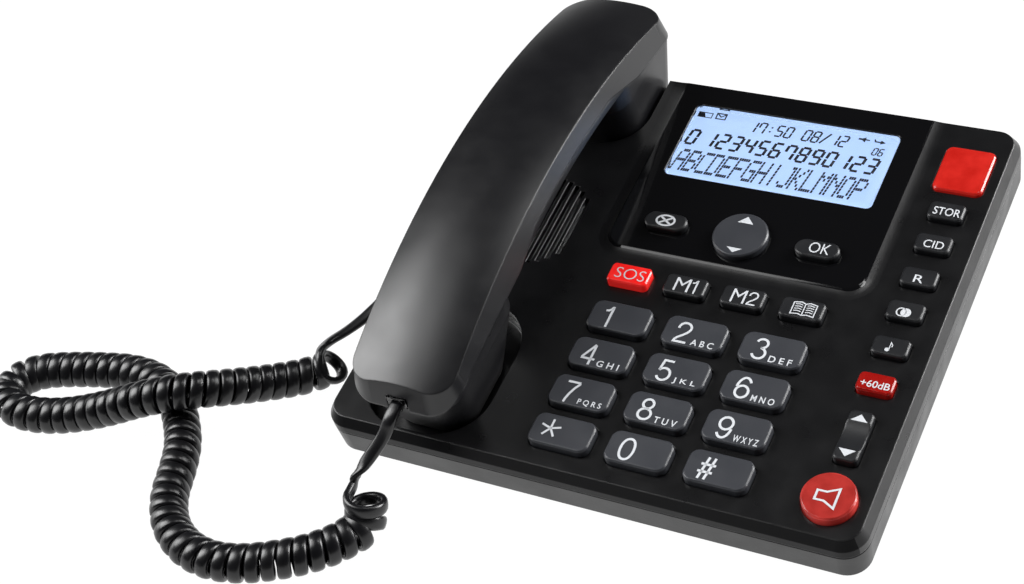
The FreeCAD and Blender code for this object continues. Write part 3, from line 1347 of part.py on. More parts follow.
def curl_points(frames, angles, count):
    """Points of the curls, evenly turned, on a round path about the route."""
    radius = number("curl_radius")
    points = []
    spot = 0
    for index in range(count + 1):
        angle = angles[0] + (angles[-1] - angles[0]) * index / count
        while spot < len(angles) - 2 and angles[spot + 1] < angle:
            spot += 1
        share = (angle - angles[spot]) / (angles[spot + 1] - angles[spot])
        hub, _, side, up = [a + (b - a) * share
                            for a, b in zip(frames[spot], frames[spot + 1])]
        points.append(hub + side * radius * math.cos(angle) - up * radius * math.sin(angle))
    return points


def curl_way(frame, angle):
    """Direction of the wire at a turn angle of the curls."""
    _, way, side, up = frame
    lead = number("curl_pitch / curl_radius") / (2 * math.pi)
    flow = way * lead - side * math.sin(angle) - up * math.cos(angle)
    flow.normalize()
    return flow


def least_gap(points, apart):
    """Least distance between parts of the curls that are over half a curl apart."""
    best = min((points[i] - points[j]).Length
               for i in range(0, len(points), 2) for j in range(i + apart, len(points)))
    return best - number("curl_wire") * math.sqrt(2)


def curly():
    """Curls as one unbroken tube of straight mitred runs: its two ends and its solid."""
    sides = int(SIZE["curl_sides"])
    frames, step = along(CURLY_ROUTE)
    angles, turns = turned(frames, step, math.pi / 2, math.pi)
    points = curl_points(frames, angles, round((angles[-1] - angles[0]) / math.pi * sides / 2))
    wire = number("curl_wire")
    head, tail = curl_way(frames[0], angles[0]) * -1, curl_way(frames[-1], angles[-1])
    ends = [points[0] + head * wire, head, points[-1] + tail * wire, tail]
    path = Part.makePolygon([ends[0]] + points + [ends[2]])
    side = head.cross(Vector(0, 0, 1))
    side.normalize()
    up = side.cross(head)
    corners = [ends[0] + side * (a * wire / 2) + up * (b * wire / 2)
               for a, b in ((-1, -1), (1, -1), (1, 1), (-1, 1), (-1, -1))]
    shape = path.makePipeShell([Part.makePolygon(corners)], True, False, 1)
    print("curly_cord: %d curls, least gap to itself %.2f, volume ratio %.4f" % (
        turns, least_gap(points, sides // 2 + 1), shape.Volume / (wire ** 2 * path.Length)))
    return shape, ends


def cord_shape(label, shape):
    feature = doc.addObject("Part::Feature", label)
    feature.Shape = shape
    keep(feature, label)


def cords():
    """The flat lead from the base, the curls, and the lead up to the handset."""
    radius = number("lead_thick") / 2
    shape, (start, head, end, tail) = curly()
    cord_shape("curly_cord", shape)
    base = deck_point(number("left_u - plug_proud"), number("jack_v"), -number("jack_depth"))
    hand = deck_point(number("handset_u"), number("hand_front - plug_proud"),
                      number("jack_level"))
    into = deck_point(0, 1, 0) - deck_point(0, 0, 0)
    hop = number("lead_hop")
    out = Vector(-1.6 * hop, 0, 0)
    spots = [base, base + out] + [Vector(*p) for p in BASE_LEAD] + [start + head * 1.35 * hop, start]
    cord_shape("base_lead", tube(spots, radius, "base_lead"))
    spots = [end, end + tail * hop] + [Vector(*p) for p in HANDSET_LEAD]
    spots += [hand - into * hop, hand]
    cord_shape("handset_lead", tube(spots, radius, "handset_lead"))


def check_document():
    doc.recompute()
    for thing in doc.Objects:
        if "Invalid" in thing.State or "Error" in thing.State:
            raise RuntimeError("failed: %s %s" % (thing.Name, thing.Label))
    for thing in PARTS:
        shape = thing.Shape
        if shape.isNull() or not shape.isValid():
            raise RuntimeError("bad shape: " + thing.Label)
        if not shape.Solids:
            raise RuntimeError("no solid: " + thing.Label)


def export():
    os.makedirs("parts", exist_ok=True)
    for thing in PARTS:
        thing.Shape.exportStep(os.path.join("parts", thing.Label + ".step"))


def main():
    fill_sheet()
    upper_housing()
    lower_housing()
    keys()
    display()
    lamp()
    board()
    mat()
    loudspeaker()
    hook()
    sockets()
    plugs()
    handset_outer()
    handset_inner()
    capsules()
    screws()
    feet()
    batteries()
    cords()
    check_document()
    export()


if __name__ == "__main__":
    main()
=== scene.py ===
import json
import math

import bpy
from mathutils import Matrix, Vector

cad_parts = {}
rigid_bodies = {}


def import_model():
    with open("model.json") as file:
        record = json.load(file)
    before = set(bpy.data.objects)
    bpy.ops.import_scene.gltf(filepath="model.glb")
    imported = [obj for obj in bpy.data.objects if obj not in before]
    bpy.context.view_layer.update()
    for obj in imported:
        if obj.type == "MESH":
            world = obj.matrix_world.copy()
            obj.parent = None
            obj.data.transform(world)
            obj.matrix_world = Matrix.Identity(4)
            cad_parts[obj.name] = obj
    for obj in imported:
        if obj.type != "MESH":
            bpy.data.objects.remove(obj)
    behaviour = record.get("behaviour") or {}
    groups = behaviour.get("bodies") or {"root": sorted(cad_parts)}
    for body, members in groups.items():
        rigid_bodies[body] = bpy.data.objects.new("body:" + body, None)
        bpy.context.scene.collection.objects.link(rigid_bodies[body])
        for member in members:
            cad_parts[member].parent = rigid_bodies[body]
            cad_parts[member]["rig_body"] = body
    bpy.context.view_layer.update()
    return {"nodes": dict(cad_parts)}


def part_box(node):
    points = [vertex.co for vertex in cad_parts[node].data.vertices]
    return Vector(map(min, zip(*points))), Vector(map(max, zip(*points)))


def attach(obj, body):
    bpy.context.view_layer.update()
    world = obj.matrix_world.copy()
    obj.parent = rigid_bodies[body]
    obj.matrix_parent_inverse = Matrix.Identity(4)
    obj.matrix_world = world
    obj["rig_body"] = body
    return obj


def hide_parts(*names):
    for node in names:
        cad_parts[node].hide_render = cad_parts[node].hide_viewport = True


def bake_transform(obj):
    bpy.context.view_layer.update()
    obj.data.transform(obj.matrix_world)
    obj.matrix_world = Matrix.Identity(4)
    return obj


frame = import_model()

# Big button desk telephone. Lengths are millimetres until they reach a mesh, which is in metres.
# The base has a deck frame: u to the right, v to the back along the sloping deck, n square to it.
MM = 0.001
SLOPE = math.radians(8.5)
DECK_ORIGIN = Vector((19.25, -57.6, 26.5))
DECK = Matrix.Translation(DECK_ORIGIN) @ Matrix.Rotation(SLOPE, 4, "X")
# Height of a printed mark over the face it lies on
LIFT = 0.06

NODES = frame["nodes"]
scene = bpy.context.scene


def to_world(spots):
    """Places of the deck frame, in millimetres, as world points in metres."""
    return [(DECK @ Vector(spot)) * MM for spot in spots]


def deck_box(name):
    """Lowest and highest corner of a node in the deck frame, in millimetres."""
    turn = DECK.inverted()
    spots = [turn @ (v.co / MM) for v in NODES[name].data.vertices]
    low = Vector([min(s[i] for s in spots) for i in range(3)])
    high = Vector([max(s[i] for s in spots) for i in range(3)])
    return low, high


def body_of(name):
    return NODES[name]["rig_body"]


def add_mesh(name, points, faces, material, body, smooth=False):
    """A mesh object in metres that rides on a body, where one is given."""
    mesh = bpy.data.meshes.new(name)
    mesh.from_pydata([tuple(p) for p in points], [], faces)
    mesh.validate()
    mesh.update()
    mesh.materials.append(material)
    if smooth:
        mesh.polygons.foreach_set("use_smooth", [True] * len(mesh.polygons))
    piece = bpy.data.objects.new(name, mesh)
    scene.collection.objects.link(piece)
    if body:
        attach(piece, body)
    return piece


# Materials: noise scales are in waves per metre, heights of grain in metres

CLOUD_LOW, CLOUD_HIGH = 0.3, 0.7
GLOSS_SCALE, MOTTLE_SCALE, MOTTLE = 90, 400, 0.85
GRAIN_SCALE, KEY_GRAIN_SCALE, GRAIN_HIGH, DECK_GRAIN_HIGH = 2600, 3400, 0.00008, 0.00006
BEVEL_SAMPLES = 6


def new_material(name):
    material = bpy.data.materials.new(name)
    material.use_nodes = True
    shader = material.node_tree.nodes["Principled BSDF"]
    return material, material.node_tree, shader


def object_noise(tree, scale, detail=3.0):
    """Noise fixed to the object."""
    place = tree.nodes.new("ShaderNodeTexCoord")
    noise = tree.nodes.new("ShaderNodeTexNoise")
    noise.inputs["Scale"].default_value = scale
    noise.inputs["Detail"].default_value = detail
    tree.links.new(place.outputs["Object"], noise.inputs["Vector"])
    return noise.outputs["Fac"]


def ranged(tree, source, low, high, out_low, out_high):
    """Map a value's range to another."""
    node = tree.nodes.new("ShaderNodeMapRange")
    node.inputs["From Min"].default_value = low
    node.inputs["From Max"].default_value = high
    node.inputs["To Min"].default_value = out_low
    node.inputs["To Max"].default_value = out_high
    tree.links.new(source, node.inputs["Value"])
    return node.outputs["Result"]


def cloud(tree, scale, detail, low, high):
    """Soft unevenness between two values."""
    return ranged(tree, object_noise(tree, scale, detail), CLOUD_LOW, CLOUD_HIGH, low, high)


def mixed(tree, share, first, second):
    """Colour between two, by a share from nothing to one."""
    tint = tree.nodes.new("ShaderNodeMixRGB")
    tint.inputs["Color1"].default_value = (*first, 1)
    tint.inputs["Color2"].default_value = (*second, 1)
    tree.links.new(share, tint.inputs["Fac"])
    return tint.outputs["Color"]


def soft_edges(tree, radius):
    """Normal that rounds the solid's sharp edges by a radius in millimetres."""
    edge = tree.nodes.new("ShaderNodeBevel")
    edge.samples = BEVEL_SAMPLES
    edge.inputs["Radius"].default_value = radius * MM
    return edge.outputs["Normal"]


def grain(tree, shader, scale, strength, edge, distance=GRAIN_HIGH):
    """Fine moulded texture as a bump, over rounded edges where edge isn't nothing."""
    bump = tree.nodes.new("ShaderNodeBump")
    bump.inputs["Strength"].default_value = strength
    bump.inputs["Distance"].default_value = distance
    tree.links.new(object_noise(tree, scale), bump.inputs["Height"])
    if edge:
        tree.links.new(soft_edges(tree, edge), bump.inputs["Normal"])
    tree.links.new(bump.outputs["Normal"], shader.inputs["Normal"])
    return bump


def plastic(name, colour, rough, spread=0.05, bump=0.25, scale=GRAIN_SCALE, edge=0.5):
    """Moulded plastic: a little uneven in gloss, with fine grain."""
    material, tree, shader = new_material(name)
    shader.inputs["Base Color"].default_value = (*colour, 1)
    gloss = cloud(tree, GLOSS_SCALE, 2.0, rough - spread, rough + spread)
    tree.links.new(gloss, shader.inputs["Roughness"])
    grain(tree, shader, scale, bump, edge)
    return material


def plain(name, colour, rough, metallic=0.0):
    """Even paint, print, wrap or metal with a slightly mottled colour."""
    material, tree, shader = new_material(name)
    shader.inputs["Metallic"].default_value = metallic
    shader.inputs["Roughness"].default_value = rough
    darker = [c * MOTTLE for c in colour]
    tint = mixed(tree, object_noise(tree, MOTTLE_SCALE, 2.0), darker, colour)
    tree.links.new(tint, shader.inputs["Base Color"])
    return material


def deck_axis(tree, axis):
    """A coordinate of the deck frame in millimetres, from the object's own place."""
    place = tree.nodes.new("ShaderNodeTexCoord")
    turn = tree.nodes.new("ShaderNodeMapping")
    turn.vector_type = "TEXTURE"
    turn.inputs["Location"].default_value = DECK_ORIGIN * MM
    turn.inputs["Rotation"].default_value = (SLOPE, 0, 0)
    tree.links.new(place.outputs["Object"], turn.inputs["Vector"])
    split = tree.nodes.new("ShaderNodeSeparateXYZ")
    tree.links.new(turn.outputs["Vector"], split.inputs["Vector"])
    return combine(tree, "MULTIPLY", split.outputs[axis], 1 / MM)


def combine(tree, kind, first, second=0.0):
    """Math node; each of its values is a socket or a number."""
    node = tree.nodes.new("ShaderNodeMath")
    node.operation = kind
    for slot, value in ((0, first), (1, second)):
        if isinstance(value, float):
            node.inputs[slot].default_value = value
        else:
            tree.links.new(value, node.inputs[slot])
    return node.outputs[0]


def all_of(tree, mask, *others):
    """One where every mask is one, nothing elsewhere."""
    for other in others:
        mask = combine(tree, "MULTIPLY", mask, other)
    return mask


# The housing's display panel and the bevel of its front rim, in the deck frame
PANEL_LEFT, PANEL_RIGHT, PANEL_FRONT, PANEL_EDGE = -50.6, 49.1, 59.0, 0.5
BEVEL_TOP, BEVEL_BACK = -0.25, -20.0
# The bevel's faces have a normal whose Y is under this
BEVEL_FACING = -0.6
SATIN_LOW, SATIN_HIGH, PANEL_ROUGH = 0.27, 0.33, 0.07
DECK_SHINE, BEVEL_SHINE = 0.5, 0.12
DECK_GRAIN, DECK_EDGE = 0.2, 0.6


def on_panel(tree):
    """One on the raised display panel, nothing elsewhere."""
    u, v, n = (deck_axis(tree, axis) for axis in "XYZ")
    return all_of(tree,
                  combine(tree, "GREATER_THAN", u, PANEL_LEFT),
                  combine(tree, "LESS_THAN", u, PANEL_RIGHT),
                  combine(tree, "GREATER_THAN", v, PANEL_FRONT),
                  combine(tree, "GREATER_THAN", n, PANEL_EDGE))


def on_front_bevel(tree):
    """One on the bevel of the front rim, nothing elsewhere."""
    geometry = tree.nodes.new("ShaderNodeNewGeometry")
    normal = tree.nodes.new("ShaderNodeSeparateXYZ")
    tree.links.new(geometry.outputs["Normal"], normal.inputs["Vector"])
    return all_of(tree,
                  combine(tree, "LESS_THAN", deck_axis(tree, "Z"), BEVEL_TOP),
                  combine(tree, "LESS_THAN", deck_axis(tree, "Y"), BEVEL_BACK),
                  combine(tree, "LESS_THAN", normal.outputs["Y"], BEVEL_FACING))


def housing_material():
    """Satin deck, glossier on the raised display panel and duller on the front rim's bevel."""
    material, tree, shader = new_material("black_deck")
    shader.inputs["Base Color"].default_value = (0.003, 0.003, 0.0035, 1)
    panel = on_panel(tree)
    rough = tree.nodes.new("ShaderNodeMix")
    tree.links.new(panel, rough.inputs[0])
    tree.links.new(cloud(tree, GLOSS_SCALE, 2.0, SATIN_LOW, SATIN_HIGH), rough.inputs[2])
    rough.inputs[3].default_value = PANEL_ROUGH
    tree.links.new(rough.outputs[0], shader.inputs["Roughness"])
    shine = ranged(tree, on_front_bevel(tree), 0.0, 1.0, DECK_SHINE, BEVEL_SHINE)
    tree.links.new(shine, shader.inputs["Specular IOR Level"])
    bump = grain(tree, shader, GRAIN_SCALE, DECK_GRAIN, DECK_EDGE, DECK_GRAIN_HIGH)
    tree.links.new(ranged(tree, panel, 0, 1, DECK_GRAIN, 0.0), bump.inputs["Strength"])
    return material


def edge_share(tree, low, high, width):
    """Rises from nothing to one over a width inside the sides of a box of the deck frame."""
    shares = []
    for index, axis in enumerate("XY"):
        middle_place, half = (low[index] + high[index]) / 2, (high[index] - low[index]) / 2
        off = combine(tree, "SUBTRACT", deck_axis(tree, axis), middle_place)
        shares.append(ranged(tree, combine(tree, "ABSOLUTE", off), half - width, half, 0.0, 1.0))
    return combine(tree, "MAXIMUM", *shares)


# The first is the width of the rim that is painted lighter, a painted highlight.
RED_PAINTED_RIM, RED_EDGE, RED_ROUGH = 1.6, 0.4, 0.16
RED_CLOUD_SCALE, RED_CLOUD_MOST = 160, 0.35


def red_translucent(name, node, deep, bright, painted_glow):
    """Red see-through plastic, its colour painted lighter along the rim as a painted highlight,
    and glowing with painted light though nothing inside it is lit.
    """
    material, tree, shader = new_material(name)
    share = combine(tree, "MAXIMUM", cloud(tree, RED_CLOUD_SCALE, 3.0, 0.0, RED_CLOUD_MOST),
                    edge_share(tree, *deck_box(node), RED_PAINTED_RIM))
    tint = mixed(tree, share, deep, bright)
    tree.links.new(tint, shader.inputs["Base Color"])
    # The tinted colour also glows as painted light, though nothing inside the key is lit.
    tree.links.new(tint, shader.inputs["Emission Color"])
    shader.inputs["Emission Strength"].default_value = painted_glow
    shader.inputs["Roughness"].default_value = RED_ROUGH
    tree.links.new(soft_edges(tree, RED_EDGE), shader.inputs["Normal"])
    return material


# Lowest and highest corner of the lit area, and the width of its paler edge
LCD_LOW, LCD_HIGH, LCD_RIM = (-43.6, 99.6), (38.0, 134.4), 3.0
LCD_CLOUD_SCALE, LCD_CLOUD_MOST = 30, 0.5


def lcd_material():
    """Lit display: an almost even pale blue, paler along its edges."""
    material, tree, shader = new_material("lit_display")
    share = combine(tree, "MAXIMUM", cloud(tree, LCD_CLOUD_SCALE, 1.0, 0.0, LCD_CLOUD_MOST),
                    edge_share(tree, LCD_LOW, LCD_HIGH, LCD_RIM))
    tint = mixed(tree, share, (0.39, 0.565, 0.93), (0.46, 0.64, 0.96))
    shader.inputs["Base Color"].default_value = (0.10, 0.13, 0.18, 1)
    tree.links.new(tint, shader.inputs["Emission Color"])
    shader.inputs["Emission Strength"].default_value = 1.0
    shader.inputs["Roughness"].default_value = 0.5
    return material


def clear_material(name, tint, index, rough):
    """See-through plastic or glass with an index of refraction."""
    material, _, shader = new_material(name)
    shader.inputs["Base Color"].default_value = (*tint, 1)
    shader.inputs["Transmission Weight"].default_value = 1.0
    shader.inputs["IOR"].default_value = index
    shader.inputs["Roughness"].default_value = rough
    return material


DECK_BLACK = housing_material()
LOWER_BLACK = plastic("black_lower", (0.003, 0.003, 0.0035), 0.34, bump=0.3, edge=0.6)
HAND_BLACK = plastic("black_handset", (0.004, 0.004, 0.005), 0.34, 0.03, bump=0.15, edge=0.8)
KEY_GREY = plastic("key_grey", (0.032, 0.034, 0.040), 0.36, bump=0.3, scale=KEY_GRAIN_SCALE,
                   edge=0.6)
KEY_BLACK = plastic("key_black", (0.008, 0.0085, 0.010), 0.36, bump=0.2, scale=KEY_GRAIN_SCALE,
                    edge=0.8)
JACK_BLACK = plastic("black_socket", (0.002, 0.002, 0.002), 0.5, bump=0.1, edge=0.0)
# Each red's last value is the strength of its painted glow. Its second colour is painted on the
# rim as a painted highlight, and also shows in random patches.
SOS_RED = red_translucent("sos_red", "key_sos", (0.60, 0.004, 0.004), (0.88, 0.06, 0.05), 0.45)
LENS_RED = red_translucent("lens_red", "ring_lamp_lens", (0.34, 0.008, 0.005),
                           (0.62, 0.03, 0.022), 0.25)
SPEAKER_RED = red_translucent("speaker_red", "key_speaker", (0.24, 0.016, 0.013),
                              (0.56, 0.050, 0.042), 0.18)
BOOST_RED = red_translucent("boost_red", "key_boost", (0.22, 0.003, 0.002),
                            (0.42, 0.02, 0.015), 0.14)
LEGEND = plain("legend_white", (0.62, 0.64, 0.67), 0.45)
LCD = lcd_material()
LCD_INK = plain("lcd_ink", (0.004, 0.005, 0.016), 0.5)
GLASS = clear_material("clear_window_glass", (0.97, 0.985, 1.0), 1.2, 0.0)
CORD_BLACK = plastic("cord_black_skin", (0.004, 0.004, 0.005), 0.30, 0.05, bump=0.06,
                     scale=900, edge=0.0)
PLUG_CLEAR = clear_material("plug_clear", (0.86, 0.87, 0.88), 1.45, 0.12)
STEEL = plain("zinc_steel", (0.55, 0.55, 0.56), 0.35, 1.0)
RUBBER = plastic("foot_rubber", (0.03, 0.03, 0.03), 0.75, bump=0.5, scale=1500)
BOARD = plain("board_green", (0.02, 0.14, 0.05), 0.4)
SILICONE = plain("silicone_grey", (0.35, 0.35, 0.36), 0.6)
CELL = plain("cell_wrap", (0.10, 0.22, 0.12), 0.35)

FINISH = {
    "upper_housing": DECK_BLACK, "lower_housing": LOWER_BLACK, "battery_door": LOWER_BLACK,
    "handset_outer_shell": HAND_BLACK, "handset_inner_shell": HAND_BLACK,
    "hook_plunger": KEY_BLACK, "hook_switch": LOWER_BLACK, "cord_jack": JACK_BLACK,
    "line_jack": JACK_BLACK, "handset_jack": JACK_BLACK, "display_window": GLASS,
    "lcd_panel": LCD, "lcd_backlight": SILICONE, "main_board": BOARD, "keypad_mat": SILICONE,
    "ring_lamp_lens": LENS_RED, "ring_lamp_led": SILICONE, "loudspeaker": STEEL,
    "receiver_capsule": STEEL, "microphone_capsule": STEEL, "handset_weight": STEEL,
    "housing_screws": STEEL, "board_screws": STEEL, "handset_screws": STEEL,
    "battery_cells": CELL, "battery_contacts": STEEL, "rubber_feet": RUBBER,
    "base_plug": PLUG_CLEAR, "handset_plug": PLUG_CLEAR, "base_lead": CORD_BLACK,
    "curly_cord": CORD_BLACK, "handset_lead": CORD_BLACK, "key_sos": SOS_RED,
    "key_boost": BOOST_RED, "key_speaker": SPEAKER_RED, "key_up_down": KEY_GREY,
}
GREY_KEYS = ("one", "two", "three", "four", "five", "six", "seven", "eight", "nine", "star",
             "zero", "hash")


def finish_nodes():
    """Give each node its material; a key that FINISH leaves out is grey or black."""
    for name, piece in NODES.items():
        piece.data.materials.clear()
        grey = name.removeprefix("key_") in GREY_KEYS
        piece.data.materials.append(FINISH.get(name, KEY_GREY if grey else KEY_BLACK))


# Flat shapes: each is a list of points and a list of faces

# Least cosine of half a corner, so that a sharp corner doesn't reach out too far
LEAST_LEAN = 0.4


def mesh_of(curve):
    """Points and faces that a curve is drawn with."""
    holder = bpy.data.objects.new(curve.name, curve)
    scene.collection.objects.link(holder)
    bpy.context.view_layer.update()
    mesh = bpy.data.meshes.new_from_object(holder)
    points = [v.co.copy() for v in mesh.vertices]
    faces = [tuple(p.vertices) for p in mesh.polygons]
    bpy.data.objects.remove(holder)
    bpy.data.meshes.remove(mesh)
    return points, faces


def glyphs(text, weight):
    """A line of text; weight makes its strokes thicker or thinner."""
    curve = bpy.data.curves.new("glyphs", "FONT")
    curve.body = text
    curve.offset = weight
    curve.resolution_u = 6
    points, faces = mesh_of(curve)
    return [(p.x, p.y) for p in points], faces


def ribbon(line, width, closed=False):
    """Flat stroke of even width along points, mitred at its corners."""
    line = [Vector(spot) for spot in line]
    ways = [(b - a).normalized() for a, b in zip(line, line[1:] + line[:1])]
    count = len(line)
    points, faces = [], []
    for index, here in enumerate(line):
        first = ways[index - 1] if closed or index else ways[0]
        second = ways[index] if closed or index < count - 1 else first
        way = (first + second).normalized()
        side = Vector((-way.y, way.x))
        lean = max(side.dot(Vector((-first.y, first.x))), LEAST_LEAN)
        reach = side * (width / 2 / lean)
        points += [tuple(here - reach), tuple(here + reach)]
    for index in range(count if closed else count - 1):
        a, b = 2 * index, 2 * ((index + 1) % count)
        faces.append((a, b, b + 1, a + 1))
    return points, faces


def arc(u, v, radius_u, radius_v, start, end, steps=18, power=1.0):
    """Points along part of an ellipse, squarer than one when the power is under one."""
    line = []
    for index in range(steps + 1):
        turn = math.radians(start + (end - start) * index / steps)
        x, y = math.cos(turn), math.sin(turn)
        line.append((u + radius_u * math.copysign(abs(x) ** power, x),
                     v + radius_v * math.copysign(abs(y) ** power, y)))
    return line


def ring(radius_u, radius_v, width, u=0.0):
    return ribbon(arc(u, 0.0, radius_u, radius_v, 0, 360, 40)[:-1], width, True)


def disc(radius, u, v=0.0):
    line = arc(u, v, radius, radius, 0, 360, 32)[:-1]
    return line, [tuple(range(len(line)))]


def joined(shapes):
    """Several shapes as one."""
    points, faces = [], []
    for shape_points, shape_faces in shapes:
        base = len(points)
        points += list(shape_points)
        faces += [tuple(base + i for i in face) for face in shape_faces]
    return points, faces


def fitted(shape, box):
    """A mark stretched to fill a box: its left, low, right and high sides in the deck frame."""
    points, faces = shape
    low = [min(p[i] for p in points) for i in (0, 1)]
    high = [max(p[i] for p in points) for i in (0, 1)]
    scale = [(box[i + 2] - box[i]) / (high[i] - low[i]) for i in (0, 1)]
    return [tuple(box[i] + (p[i] - low[i]) * scale[i] for i in (0, 1)) for p in points], faces


def print_on(name, node, shape, material=LEGEND):
    """Put a flat mark, given in the deck frame, on a node's top face."""
    points, faces = shape
    top = deck_box(node)[1][2] + LIFT
    return add_mesh(name, to_world([(u, v, top) for u, v in points]), faces, material,
                    body_of(node))


# Legends of the dial keys. A digit's lines lie in a box one high and DIGIT_WIDE wide.

DIGIT_WIDE, STROKE = 0.62, 0.098


def half_turned(lines):
    return [[(DIGIT_WIDE - x, 1 - y) for x, y in line] for line in lines]


SIX = [arc(0.315, 0.315, 0.25, 0.27, 0, 360), arc(0.325, 0.51, 0.26, 0.445, 180, 35)]
DIGIT_LINES = {
    "0": [arc(0.31, 0.5, 0.262, 0.453, 0, 360, 28, 0.9)],
    "1": [[(0.36, 0.0), (0.36, 1.0)],
          [(0.10, 0.77), (0.21, 0.79), (0.29, 0.85), (0.335, 0.955)]],
    "2": [arc(0.31, 0.715, 0.245, 0.24, 190, -20)
          + [(0.47, 0.52), (0.33, 0.38), (0.16, 0.24), (0.085, 0.14), (0.065, 0.047),
             (0.565, 0.047)]],
    "3": [arc(0.30, 0.745, 0.215, 0.21, 165, -90), arc(0.30, 0.29, 0.25, 0.245, 90, -165)],
    "4": [[(0.43, 0.0), (0.43, 0.93)], [(0.42, 0.955), (0.055, 0.30)],
          [(0.03, 0.275), (0.60, 0.275)]],
    "5": [[(0.53, 0.953), (0.15, 0.953), (0.085, 0.48)],
          arc(0.30, 0.325, 0.255, 0.28, 147, -155)],
    "6": SIX,
    "7": [[(0.05, 0.953), (0.565, 0.953)],
          [(0.565, 0.93), (0.42, 0.70), (0.30, 0.42), (0.235, 0.18), (0.215, 0.0)]],
    "8": [arc(0.31, 0.745, 0.205, 0.21, 0, 360), arc(0.31, 0.285, 0.25, 0.24, 0, 360)],
    "9": half_turned(SIX),
    "#": [[(0.12, 0.02), (0.28, 0.98)], [(0.36, 0.02), (0.52, 0.98)],
          [(0.02, 0.34), (0.58, 0.34)], [(0.06, 0.66), (0.62, 0.66)]],
}
DIAL = {"key_one": ("1", ""), "key_two": ("2", "ABC"), "key_three": ("3", "DEF"),
        "key_four": ("4", "GHI"), "key_five": ("5", "JKL"), "key_six": ("6", "MNO"),
        "key_seven": ("7", "PQRS"), "key_eight": ("8", "TUV"), "key_nine": ("9", "WXYZ"),
        "key_zero": ("0", ""), "key_hash": ("#", "")}
# Measured from the middle of a key
DIGIT_LEFT, DIGIT_LOW, DIGIT_HIGH = -6.8, -5.3, 9.3
LETTERS_LEFT, LETTERS_HIGH, LETTERS_WIDE, LETTERS_MORE = 0.2, 2.7, 8.4, 9.0
LETTERS_WEIGHT = 0.014
STAR_LEFT, STAR_UP, STAR_ARM, STAR_STROKE = -4.3, 0.3, 3.8, 0.8
STAR_TURNS = range(90, 450, 72)


def drawn_digit(sign, u, v, high):
    """A sign of round strokes, its box's lower left corner at u and v."""
    shapes = []
    for line in DIGIT_LINES[sign]:
        spots = [(u + x * high, v + y * high) for x, y in line]
        closed = (Vector(spots[0]) - Vector(spots[-1])).length < 0.01
        shapes.append(ribbon(spots[:-1] if closed else spots, STROKE * high, closed))
    return joined(shapes)


def middle(node):
    """Middle of a node in the deck frame."""
    low, high = deck_box(node)
    return (low[0] + high[0]) / 2, (low[1] + high[1]) / 2


def star_arm(u, v, degrees):
    turn = math.radians(degrees)
    return ribbon([(u, v), (u + STAR_ARM * math.cos(turn), v + STAR_ARM * math.sin(turn))],
                  STAR_STROKE)


def dial_legends():
    """A digit on each dial key, its letters beside it, and the star."""
    for node, (digit, letters) in DIAL.items():
        u, v = middle(node)
        print_on("legend_" + node, node,
                 drawn_digit(digit, u + DIGIT_LEFT, v + DIGIT_LOW, DIGIT_HIGH))
        if letters:
            wide = LETTERS_MORE if len(letters) > 3 else LETTERS_WIDE
            left, low = u + LETTERS_LEFT, v + DIGIT_LOW
            text = glyphs(" ".join(letters), LETTERS_WEIGHT)
            print_on("letters_" + node, node,
                     fitted(text, (left, low, left + wide, low + LETTERS_HIGH)))
    u, v = middle("key_star")
    arms = [star_arm(u + STAR_LEFT, v + STAR_UP, degrees) for degrees in STAR_TURNS]
    print_on("legend_star", "key_star", joined(arms))


# Legends of the other keys, each drawn at any size and then fitted to its box

BOOK_TOP, BOOK_ROWS, BOOK_ROW_STEP = 1.7, 4, 0.95


def book_icon():
    """Open book with lines on its pages."""
    shapes = []
    for side in (-1, 1):
        page = [(0, -2.6), (side * 1.6, -2.1), (side * 4.2, -2.5), (side * 4.2, 2.4),
                (side * 1.6, 2.9), (0, 2.3)]
        shapes.append(ribbon(page, 0.42))
        for row in range(BOOK_ROWS):
            level = BOOK_TOP - row * BOOK_ROW_STEP
            shapes.append(ribbon([(side * 0.8, level), (side * 2.0, level + 0.3),
                                  (side * 3.5, level)], 0.34))
    shapes.append(ribbon([(0, -2.6), (0, 2.3)], 0.4))
    return joined(shapes)


def triangle(up):
    return [(-1.0, 0.0), (1.0, 0.0), (0.0, up)], [(0, 1, 2)]


def memory_sign(digit):
    """The letter M with a drawn digit beside it."""
    letter = fitted(glyphs("M", -0.004), (0.0, 0.0, 0.86, 1.0))
    return joined([letter, drawn_digit(digit, 1.0 if digit == "2" else 0.86, 0.0, 1.0)])


def horn_line():
    return ribbon([(-4.2, 2.0), (-1.0, 2.0), (2.9, 4.3), (2.9, -4.3), (-1.0, -2.0), (-4.2, -2.0)],
                  0.8, True)


def cross_sign():
    """Ring with a cross in it."""
    return joined([ring(3.5, 2.4, 0.8), ribbon([(-2.4, -1.65), (2.4, 1.65)], 0.8),
                   ribbon([(-2.4, 1.65), (2.4, -1.65)], 0.8)])


def redial_sign():
    """Ring and disc side by side."""
    return joined([ring(1.75, 1.75, 0.5, -1.0), disc(1.95, 0.7)])


def note_sign():
    return joined([disc(0.95, -0.4, -1.7),
                   ribbon([(0.35, -1.6), (0.35, 2.2), (1.3, 0.9), (1.2, -0.1)], 0.42)])


